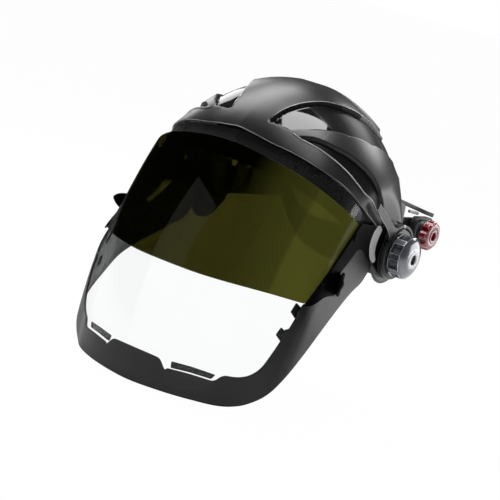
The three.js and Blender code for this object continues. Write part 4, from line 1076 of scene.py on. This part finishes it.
# ------------------------------------------------------------------ pivots
KNOB_RADIUS, KNOB_BORE = 18.5, 3.4
POCKET_ANGLES = [(k + 0.5) * 45 for k in range(8)]
POCKET_X, POCKET_HALF_WIDTH, POCKET_DEPTH, POCKET_RIM = (107.7, 116.7), 4.35, 3.0, 0.28
# lathe profiles as (x, radius)
KNOB_PROFILE = [
    (106.5, KNOB_BORE), (106.5, 17.7), (106.8, 18.2), (107.2, 18.45),
    *((x, KNOB_RADIUS - 0.035 * (x - 107.2)) for x in np.arange(107.5, 116.9, 0.22)),
    (117.1, 18.0), (117.5, 17.75), (117.9, 17.4), (118.5, 16.75), (119.2, 15.8), (119.9, 14.4),
    (120.5, 12.6), (121.0, 10.6), (121.3, 8.9), (121.35, 8.45), (120.6, 8.3), (120.6, 4.6),
    (118.9, 4.4), (118.9, KNOB_BORE)]
RING_PROFILE = [(120.7, 4.5), (120.7, 8.2), (121.75, 8.05), (122.0, 7.6), (122.0, 5.1),
                (121.6, 4.5)]
DRUM_PROFILE = [(101.7, KNOB_BORE), (101.7, 22.0), (102.2, 22.45), (105.3, 22.2), (106.2, 21.2),
                (106.2, KNOB_BORE)]
SCREW_PROFILE = [(105.2, 0.02), (105.2, 1.5), (105.9, 1.4), (106.3, 0.9), (106.35, 0.02)]
# shroud: a web behind the collar, a wall over the collar and a blade reaching forward
SHROUD_RADIUS, SHROUD_INNER = 25.8, 23.3
SHROUD_WEB = arc(SHROUD_RADIUS, 16, 145, 26) + arc(23.2, 150, 374, 40)
SHROUD_WALL = arc(SHROUD_RADIUS, 20, 145, 26) + arc(SHROUD_INNER, 150, 20, 26)
SHROUD_BLADE = arc(SHROUD_RADIUS, 95, 118, 5) + [
    (-17.3, 23.6, 3), (-30, 31, 20), (-43.7, 38.6, 20), (-53, 43.5, 1.5), (-55, 38, 1.5),
    (-45, 31, 20), (-31, 22.6, 20), (-22, 15.5, 4)] + arc(SHROUD_INNER, 150, 95, 10)
# painted highlights on the blade's edges, as (y, z)
BLADE_EDGES = (("lower", [(-54.6, 38.3), (-45, 31.3), (-31, 22.9), (-22.3, 15.9)]),
               ("upper", [(-52.6, 43.0), (-43.5, 38.3), (-30, 30.7), (-17.6, 23.4)]))
# index plate teeth: (angle from the tooth's start, radius)
TOOTH, TOOTH_PITCH, TOOTH_COUNT, TOOTH_START = (
    ((0, 28.2), (1.4, 28.2), (2.1, 26.0), (3.9, 26.0), (4.6, 28.2)), 5.0, 25, 196)


def pocket_warp(x, turn, radii):
    """Sinks eight finger pockets with raised rims into the knob's side."""
    out = radii.copy()
    for centre in POCKET_ANGLES:
        angle = (np.degrees(turn) - centre + 180) % 360 - 180
        from_side = POCKET_HALF_WIDTH - np.abs(np.radians(angle)) * KNOB_RADIUS
        from_end = np.minimum(x - POCKET_X[0], POCKET_X[1] - x)
        margin = np.minimum(from_end, from_side)
        cut = ease((margin + 0.1) / 0.45)
        rim = np.exp(-((margin + 0.45) / 0.35) ** 2)
        warped = out - POCKET_DEPTH * cut + POCKET_RIM * rim * (x > 106.9)
        out = np.where(radii > 15, warped, out)
    return out


def index_outline():
    points = []
    for k in range(TOOTH_COUNT):
        for angle, radius in TOOTH:
            a = math.radians(TOOTH_START + TOOTH_PITCH * k + angle)
            points.append((radius * math.cos(a), radius * math.sin(a), 0.3))
    return points + rounded(arc(15, 322, 550, 30))


def build_knob(label, side):
    body = f"{label}_knob"
    fit(lathe(f"tension_knob_{label}_grip", KNOB_PROFILE, 256, side, KNOB_SILVER,
              warp=pocket_warp), body, "knob", f"tension_knob_{label}")
    fit(lathe(f"knob_ring_{label}", soften(RING_PROFILE, 0.35), 72, side, KNOB_RING),
        body, "knob")
    fit(lathe(f"knob_base_{label}_collar", soften(DRUM_PROFILE, 0.5), 96, side, DRUM_BLACK),
        body, "knob_drum", f"knob_base_{label}")


def build_shroud(label, side):
    fit(plate(f"shroud_{label}_web", rounded(SHROUD_WEB), (100.3, 101.4), 0.3, side,
              SHROUD_SATIN, hole=PIVOT_HOLE), "shield", "cover_shell", f"pivot_shroud_{label}")
    fit(plate(f"shroud_{label}_wall", rounded(SHROUD_WALL), (100.3, 105.4), 0.45, side,
              SHROUD_SATIN), "shield", "cover_shell")
    fit(plate(f"shroud_{label}_blade", rounded(SHROUD_BLADE), (104.3, 105.7), 0.45, side,
              SHROUD_SATIN), "shield", "cover_shell")
    # pale strips along the blade's edges: painted highlights
    for edge, line in BLADE_EDGES:
        stations = [((105.55 * side, y, z), (0, -0.55, 0.83), (side, 0, 0)) for y, z in line]
        fit(strip(f"shroud_{label}_edge_{edge}", stations, 0.8, 0.8, EDGE_HIGHLIGHT_PAINT, corner=0.38,
                  spacing=1.5), "shield", "cover_shell")
    fit(lathe(f"shroud_screw_{label}", soften(SCREW_PROFILE, 0.25, steps=3), 24, side, KNOB_RING,
              y=-1.0, z=24.55, closed=False, sharp=50), "shield", "steel")


for label, side in SIDES:
    build_knob(label, side)
    build_shroud(label, side)
    fit(plate(f"index_plate_{label}_toothed", index_outline(), (96.35, 97.7), 0.3, side,
              INDEX_GREY, hole=PIVOT_HOLE, edge=0.8),
        "headgear", "index_plate", f"index_plate_{label}")

# ------------------------------------------------------------------ adjuster dial and housing
DIAL_Y, DIAL_Z, DIAL_RADIUS, DIAL_BORE = 68.0, 14.5, 13.5, 2.9
NOTCH_RADIUS, NOTCH_CENTRE = 3.6, DIAL_RADIUS + 1.5
DIAL_HOLE = (DIAL_Y, DIAL_Z, DIAL_BORE)
DIAL_PROFILE = [
    (91.7, DIAL_BORE), (91.7, 12.4), (91.95, 13.0), (92.5, 13.4),
    *((x, 13.45 - 0.05 * (x - 92.5)) for x in np.arange(93, 97.6, 0.5)),
    (98.0, 12.9), (98.6, 12.3), (99.2, 11.4), (99.6, 10.4), (99.8, 9.4), (99.55, 7.4),
    (99.45, 6.4), (99.9, 5.9), (100.0, 5.4), (100.0, 4.2), (99.7, 3.8), (97.4, 3.6),
    (97.2, DIAL_BORE)]


def notch_warp(x, turn, radii):
    """Cuts eight round notches into the dial's edge."""
    out = radii.copy()
    for k in range(8):
        centre = math.radians((k + 0.5) * 45)
        angle = (turn - centre + math.pi) % (2 * math.pi) - math.pi
        square = NOTCH_RADIUS**2 - (NOTCH_CENTRE * np.sin(angle)) ** 2
        near = NOTCH_CENTRE * np.cos(angle) - np.sqrt(np.maximum(square, 0))
        limit = np.where((square > 0) & (np.abs(angle) < 0.5), near, 99.0)
        out = np.where(radii > 8.5, soft_min(out, np.maximum(limit, 8.4), 0.5), out)
    return out


fit(lathe("adjuster_dial_grip", DIAL_PROFILE, 192, 1, DIAL_RED, y=DIAL_Y, z=DIAL_Z,
          warp=notch_warp, sharp=42), "dial", "dial", "adjuster_dial")
fit(plate("dial_housing_base", rounded_rect(54, 86, 1, 28, 7), (80.1, 87.0), 1.0, 1,
          HOUSING_GREY, hole=DIAL_HOLE), "headgear", "housing", "dial_housing")
fit(plate("dial_housing_turret", rounded_rect(56.5, 81.5, 2.6, 26.4, 10), (86.6, 91.3), 0.8, 1,
          HOUSING_GREY, hole=DIAL_HOLE), "headgear", "housing")
for k in range(3):
    y = 55.6 + 1.6 * k
    fit(plate(f"dial_housing_ridge_{k}", rounded_rect(y, y + 0.8, 5.5, 23.5, 0.35), (86.6, 88.6),
              0.25, 1, INDEX_GREY), "headgear", "housing")

# ------------------------------------------------------------------ headgear bands and straps
HEADBAND_X, HEADBAND_Z, HEADBAND_DEPTH, BROW_RISE = 78.5, 13.0, 84, 46.0
REARBAND_X, REARBAND_DEPTH, REARBAND_START, NAPE_DROP = 75.9, 26, 88, 40
ARCH_HALF_WIDTH, ARCH_HEIGHT, ARCH_Y, ARCH_Z = 74.2, 64, 6, 26


def read_mesh(mesh, key):
    values = np.empty(len(mesh.vertices) * 3, np.float32)
    mesh.vertices.foreach_get(key, values)
    return values.reshape(-1, 3).astype(float)


def apply_modifiers(ob):
    """Replaces the object's mesh with its evaluated one."""
    bpy.context.view_layer.update()
    graph = bpy.context.evaluated_depsgraph_get()
    mesh = bpy.data.meshes.new_from_object(ob.evaluated_get(graph))
    ob.modifiers.clear()
    old = ob.data
    ob.data = mesh
    bpy.data.meshes.remove(old)
    return mesh


def front_oval(half_width, depth, half_angle, n):
    """Stations round the front, rising to the brow."""
    power, out = 2 / 2.3, []
    for angle in np.linspace(-half_angle, half_angle, n + 1):
        a, sign = math.radians(min(90, abs(angle))), (1 if angle >= 0 else -1)
        sine, cosine = math.sin(a), max(0, math.cos(a))
        x, y = half_width * sine ** power, -6 - depth * cosine ** power
        z = HEADBAND_Z + BROW_RISE * float(ease((-14 - y) / 50))
        nx, ny = sine ** (2 - power) / half_width, -(cosine ** (2 - power)) / depth
        size = math.hypot(nx, ny)
        out.append(((sign * x, y, z), (0, 0, 1), (sign * nx / size, ny / size, 0)))
    return out


def rear_oval(half_width, depth, half_angle, n, shift=0.0):
    """Stations round the back from left to right, dropping to the nape."""
    power, out = 2 / 2.4, []
    for angle in np.radians(np.linspace(-half_angle, half_angle, n + 1)):
        cosine, sine = max(0, math.cos(angle)), math.sin(angle)
        x = -half_width * math.copysign(abs(sine) ** power, sine)
        y = REARBAND_START + depth * cosine**power
        z = HEADBAND_Z - NAPE_DROP * float(ease((y + shift - REARBAND_START) / REARBAND_DEPTH))
        nx = math.copysign(abs(sine) ** (2 - power), x) / half_width
        ny = cosine ** (2 - power) / depth
        size = math.hypot(nx, ny)
        out.append(((x, y, z), (0, 0, 1), (nx / size, ny / size, 0)))
    return out


def tail(x, y):
    """Station on a straight end of a band."""
    return (x, y, HEADBAND_Z), (0, 0, 1), (math.copysign(1, x), 0, 0)


def arch(side, end, offset, n=28):
    """Stations up one side and over the head to the end angle."""
    half_width, height = ARCH_HALF_WIDTH + offset, ARCH_HEIGHT + offset
    out = [((side * half_width, ARCH_Y, z), (0, 1, 0), (side, 0, 0)) for z in (2, 14)]
    for a in np.radians(np.linspace(0 if side > 0 else 180, end, n + 1)):
        point = (half_width * math.cos(a), ARCH_Y, ARCH_Z + height * math.sin(a))
        out.append((point, (0, 1, 0), (math.cos(a), 0, math.sin(a))))
    return out


def opened(ob, x_range, y_range, z_range):
    """Cuts a box-shaped opening through a strap, for the pinion and its shaft."""
    corners = np.array([(x, y, z) for x in x_range for y in y_range for z in z_range], float)
    faces = [(0, 1, 3, 2), (4, 6, 7, 5), (0, 4, 5, 1), (2, 3, 7, 6), (0, 2, 6, 4), (1, 5, 7, 3)]
    cutter = new_object("opening", corners, faces, STRAP_NYLON)
    cut = ob.modifiers.new("opening", "BOOLEAN")
    cut.operation, cut.solver, cut.object = "DIFFERENCE", "EXACT", cutter
    apply_modifiers(ob)
    bpy.data.objects.remove(cutter)
    return ob


front_stations = [tail(-HEADBAND_X, 64), tail(-HEADBAND_X, 20),
                  *front_oval(HEADBAND_X, HEADBAND_DEPTH, 90, 44),
                  tail(HEADBAND_X, 20), tail(HEADBAND_X, 88)]
front_band = strip("front_headband_strap", front_stations, 26, 2.0, STRAP_NYLON, corner=0.8,
                   spacing=3)
fit(opened(front_band, (77.2, 82), (DIAL_Y - 3, DIAL_Y + 3), (DIAL_Z - 3, DIAL_Z + 3)),
    "headgear", "strap", "front_headband")

rear_stations = [tail(REARBAND_X, 30), tail(REARBAND_X, 60),
                 *rear_oval(REARBAND_X, REARBAND_DEPTH, 90, 40),
                 tail(-REARBAND_X, 60), tail(-REARBAND_X, 30)]
rear_widths = [24 + 10 * float(ease(min(t, 1 - t) * 6 - 1.6)) for t in np.linspace(0, 1, 60)]
rear_band = strip("rear_band_strap", rear_stations, rear_widths, 2.0, STRAP_NYLON, corner=0.8,
                  spacing=3)
fit(opened(rear_band, (74, 78), (52, 86.4), (DIAL_Z - 5.85, DIAL_Z + 6.2)),
    "rear_adjuster", "strap", "rear_band")

# the left crown strap overlaps the right one over the head
for (label, side), end, offset in zip(SIDES, (110, 72), (0.6, -1.6)):
    fit(strip(f"crown_strap_{label}_web", arch(side, end, offset), 18, 1.6, STRAP_NYLON,
              corner=0.6, spacing=3), "headgear", "strap", f"crown_strap_{label}")

brow_stations = [((0, -4 + 86 * math.cos(a), 72.8 + 13.6 * math.sin(a)), (1, 0, 0),
                  (0, math.cos(a), math.sin(a))) for a in np.radians(np.linspace(180, 94, 25))]
brow_stations.append(((0, 0.4, 86.2), (1, 0, 0), (0, 0, 1)))
fit(strip("brow_strap_web", brow_stations, 16, 1.5, STRAP_NYLON, corner=0.6, spacing=3),
    "headgear", "strap", "brow_strap")

CORD_POINTS = ((77.4, 18, 42), (78.4, 40, 38.4), (80.5, 58, 35), (84.5, 72, 32.2), (86, 83, 30.4))
fit(strip("side_strap_left_cord",
          [(p, (0, 0.15, 0.989), (0.989, -0.02, 0.003)) for p in CORD_POINTS],
          3.6, 1.6, STRAP_NYLON, corner=0.6, spacing=2), "headgear", "strap", "side_strap_left")
SLIDE_POINTS = ((79.2, 50, 31.6), (79.9, 57, 30.9), (80.6, 64, 30.2))
fit(strip("strap_tab_left_slide", [(p, (0, 0, 1), (1, 0, 0)) for p in SLIDE_POINTS],
          2.6, 2.4, TAB_PALE, corner=0.7, spacing=1), "headgear", "pale", "strap_tab_left")

# ------------------------------------------------------------------ padded pieces
# metres: remeshing size, greatest swelling, depth of the stitched line
PAD_VOXEL, PAD_SWELL, STITCH_DEPTH = 0.0026, 0.0016, 0.0009
STITCH_HALF_WIDTH = 0.9    # mm
SWELL_FRAMES = 20


def inflate(ob):
    """Swells the pad by cloth pressure, held to PAD_SWELL."""
    rest = read_mesh(ob.data, "co")
    cloth = ob.modifiers.new("swell", "CLOTH")
    settings = cloth.settings
    settings.use_pressure = True
    settings.uniform_pressure_force = 4.0
    settings.effector_weights.gravity = 0.0
    settings.quality = 6
    settings.mass = 0.3
    settings.bending_stiffness = 0.5
    cloth.point_cache.frame_start, cloth.point_cache.frame_end = 1, SWELL_FRAMES
    for f in range(1, SWELL_FRAMES + 1):
        bpy.context.scene.frame_set(f)
    mesh = apply_modifiers(ob)
    bpy.context.scene.frame_set(1)
    move = read_mesh(mesh, "co") - rest
    length = np.linalg.norm(move, axis=1, keepdims=True)
    move *= np.minimum(1, PAD_SWELL / np.maximum(length, 1e-9))
    mesh.vertices.foreach_set("co", (rest + move).astype(np.float32).ravel())
    mesh.update()


def height_from_line(points, line):
    """Height of each point above the place on the line nearest to it in plan."""
    nearest, height = np.full(len(points), 1e9), np.zeros(len(points))
    for a, b in zip(line[:-1], line[1:]):
        d = b - a
        t = np.clip(((points - a)[:, :2] @ d[:2]) / max(1e-12, (d[:2] @ d[:2])), 0, 1)
        offset = points - (a + t[:, None] * d)
        distance = np.linalg.norm(offset[:, :2], axis=1)
        closer = distance < nearest
        nearest[closer] = distance[closer]
        height[closer] = offset[closer, 2]
    return height


def foam_pad(name, stations, width, thick, seam, body, node_name):
    """A pad in a knitted sleeve, with a line sunk along each edge, seam from the middle."""
    ob = strip(name, stations, width, thick, None, corner=thick * 0.45, spacing=3)
    remesh = ob.modifiers.new("fine", "REMESH")
    remesh.mode, remesh.voxel_size = "VOXEL", PAD_VOXEL
    apply_modifiers(ob)
    inflate(ob)
    subdivide = ob.modifiers.new("sub", "SUBSURF")
    subdivide.levels = subdivide.render_levels = 1
    mesh = apply_modifiers(ob)
    points = read_mesh(mesh, "co")
    across = height_from_line(points, to_scene([s[0] for s in stations]))
    groove = np.exp(-((np.abs(across) * 1000 - seam) / STITCH_HALF_WIDTH) ** 2)
    points = points - read_mesh(mesh, "normal") * (STITCH_DEPTH * groove)[:, None]
    mesh.vertices.foreach_set("co", points.astype(np.float32).ravel())
    mesh.update()
    for polygon in mesh.polygons:
        polygon.use_smooth = True
    mesh.materials.clear()
    mesh.materials.append(FOAM_KNIT)
    fit(ob, body, "foam", node_name)


BROW_GAP, NAPE_GAP = 4.8, 4.3    # from a band's middle in to its pad's middle
foam_pad("sweatband_pad", front_oval(HEADBAND_X - BROW_GAP, HEADBAND_DEPTH - BROW_GAP, 67, 40),
         28.0, 4.4, seam=10.8, body="headgear", node_name="sweatband")
foam_pad("nape_cushion", rear_oval(REARBAND_X - NAPE_GAP, 21.6, 57, 32, shift=NAPE_GAP),
         24.2, 4.0, seam=8.8, body="rear_adjuster", node_name="nape_pad")

# ------------------------------------------------------------------ finishes of the CAD pieces
# by the start of the piece's name
FINISHES = {
    "window_stud": BAND_BLACK, "lens_rivet": CARRIER_BLACK, "chin_clip": FITTING_BLACK,
    "arm_clip": FITTING_BLACK, "pivot_bolt": BOLT_BLACK, "pivot_bracket": STRAP_NYLON,
    "bracket_rivet": ZINC_STEEL, "dial_pinion": FITTING_BLACK, "strap_stud": TAB_PALE}
for node_name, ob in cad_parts.items():
    for prefix, material in FINISHES.items():
        if node_name.startswith(prefix):
            slots = ob.data.materials
            if len(slots):
                for i in range(len(slots)):
                    slots[i] = material
            else:
                slots.append(material)

# ------------------------------------------------------------------ camera
CAMERA_AWAY = Vector((0.510, -0.849, 0.139)).normalized()    # from the pivot to the camera
CAMERA_DISTANCE, CAMERA_ROLL = 1.5, 15.0                     # metres, degrees
CAMERA_YAW, CAMERA_PITCH = 1.552324, 1.0625704    # degrees off the line to the pivot
SENSOR_WIDTH, FOCAL_LENGTH = 36.0, 123.012        # mm


def build_camera():
    data = bpy.data.cameras.new("camera")
    data.sensor_width, data.lens = SENSOR_WIDTH, FOCAL_LENGTH
    data.clip_start, data.clip_end = 0.05, 100
    camera = bpy.data.objects.new("camera", data)
    bpy.context.scene.collection.objects.link(camera)
    right = Vector((0, 0, 1)).cross(CAMERA_AWAY).normalized()
    up = CAMERA_AWAY.cross(right)
    roll = Matrix.Rotation(math.radians(CAMERA_ROLL), 3, CAMERA_AWAY)
    axes = Matrix((roll @ right, roll @ up, CAMERA_AWAY)).transposed()
    turn = (Matrix.Rotation(math.radians(CAMERA_YAW), 3, "Y")
            @ Matrix.Rotation(math.radians(-CAMERA_PITCH), 3, "X"))
    camera.location = Vector((0, PIVOT_Y, PIVOT_Z)) + CAMERA_AWAY * CAMERA_DISTANCE
    camera.rotation_euler = (axes @ turn).to_euler()
    bpy.context.scene.camera = camera


build_camera()

# ------------------------------------------------------------------ lights
LIGHT_TARGET = Vector((0.02, PIVOT_Y - 0.08, PIVOT_Z + 0.10))
# name, direction from the target, distance, width, height (metres), radiance
SOFTBOXES = (
    ("key_top", (0.09, 0.07, 1.0), 1.2, 0.56, 0.76, 9.0),
    ("left_high", (-0.62, 0.10, 0.78), 1.3, 0.5, 0.7, 7.0),
    ("left_high_back", (-0.49, 0.42, 0.77), 1.3, 0.46, 0.46, 6.0),
    ("left_back", (-0.78, 0.56, 0.28), 1.3, 0.45, 0.5, 3.4),
    ("rim_back", (0.10, 0.86, 0.50), 1.3, 0.7, 0.36, 7.5),
    ("card_back_right", (0.52, 0.85, 0.0), 1.5, 1.0, 0.7, 3.3),
    ("front_left", (-0.55, -0.83, 0.30), 1.6, 0.7, 0.8, 1.6),
    ("front_low", (0.40, -0.90, 0.02), 1.6, 0.9, 0.5, 1.5))


def softbox(name, direction, distance, width, height, radiance):
    light = bpy.data.lights.new(name, "AREA")
    light.shape = "RECTANGLE"
    light.size, light.size_y = width, height
    light.energy = radiance * math.pi * width * height
    ob = bpy.data.objects.new(name, light)
    ob.location = LIGHT_TARGET + Vector(direction).normalized() * distance
    ob.rotation_euler = (LIGHT_TARGET - ob.location).to_track_quat("-Z", "Y").to_euler()
    ob.visible_camera = False
    bpy.context.scene.collection.objects.link(ob)


for box in SOFTBOXES:
    softbox(*box)


# ------------------------------------------------------------------ world and floor
def build_world():
    """White to the camera, dim grey to every other ray."""
    world = bpy.data.worlds.new("studio")
    bpy.context.scene.world = world
    graph = Graph(world, output="OutputWorld")
    dim = graph.add("Background", Color=(0.045, 0.046, 0.048, 1), Strength=1.0)
    white = graph.add("Background", Color=(1, 1, 1, 1), Strength=1.0)
    seen = graph.add("LightPath").outputs["Is Camera Ray"]
    graph.finish(graph.mix_shader(seen, dim, white))


def build_floor(radius=40.0, n=64):
    """A disc just below the ground plane."""
    turns = [2 * math.pi * i / n for i in range(n)]
    verts = [(0, 0, 0)] + [(radius * math.cos(a), radius * math.sin(a), 0) for a in turns]
    mesh = bpy.data.meshes.new("floor")
    mesh.from_pydata(verts, [], [(0, 1 + i, 1 + (i + 1) % n) for i in range(n)])
    mesh.materials.append(pale_floor("floor_pale"))
    floor = bpy.data.objects.new("floor", mesh)
    floor.location = (0, 0, -0.0005)
    bpy.context.scene.collection.objects.link(floor)


build_world()
build_floor()
bpy.context.scene.view_settings.view_transform = "Standard"
bpy.context.scene.view_settings.look = "None"
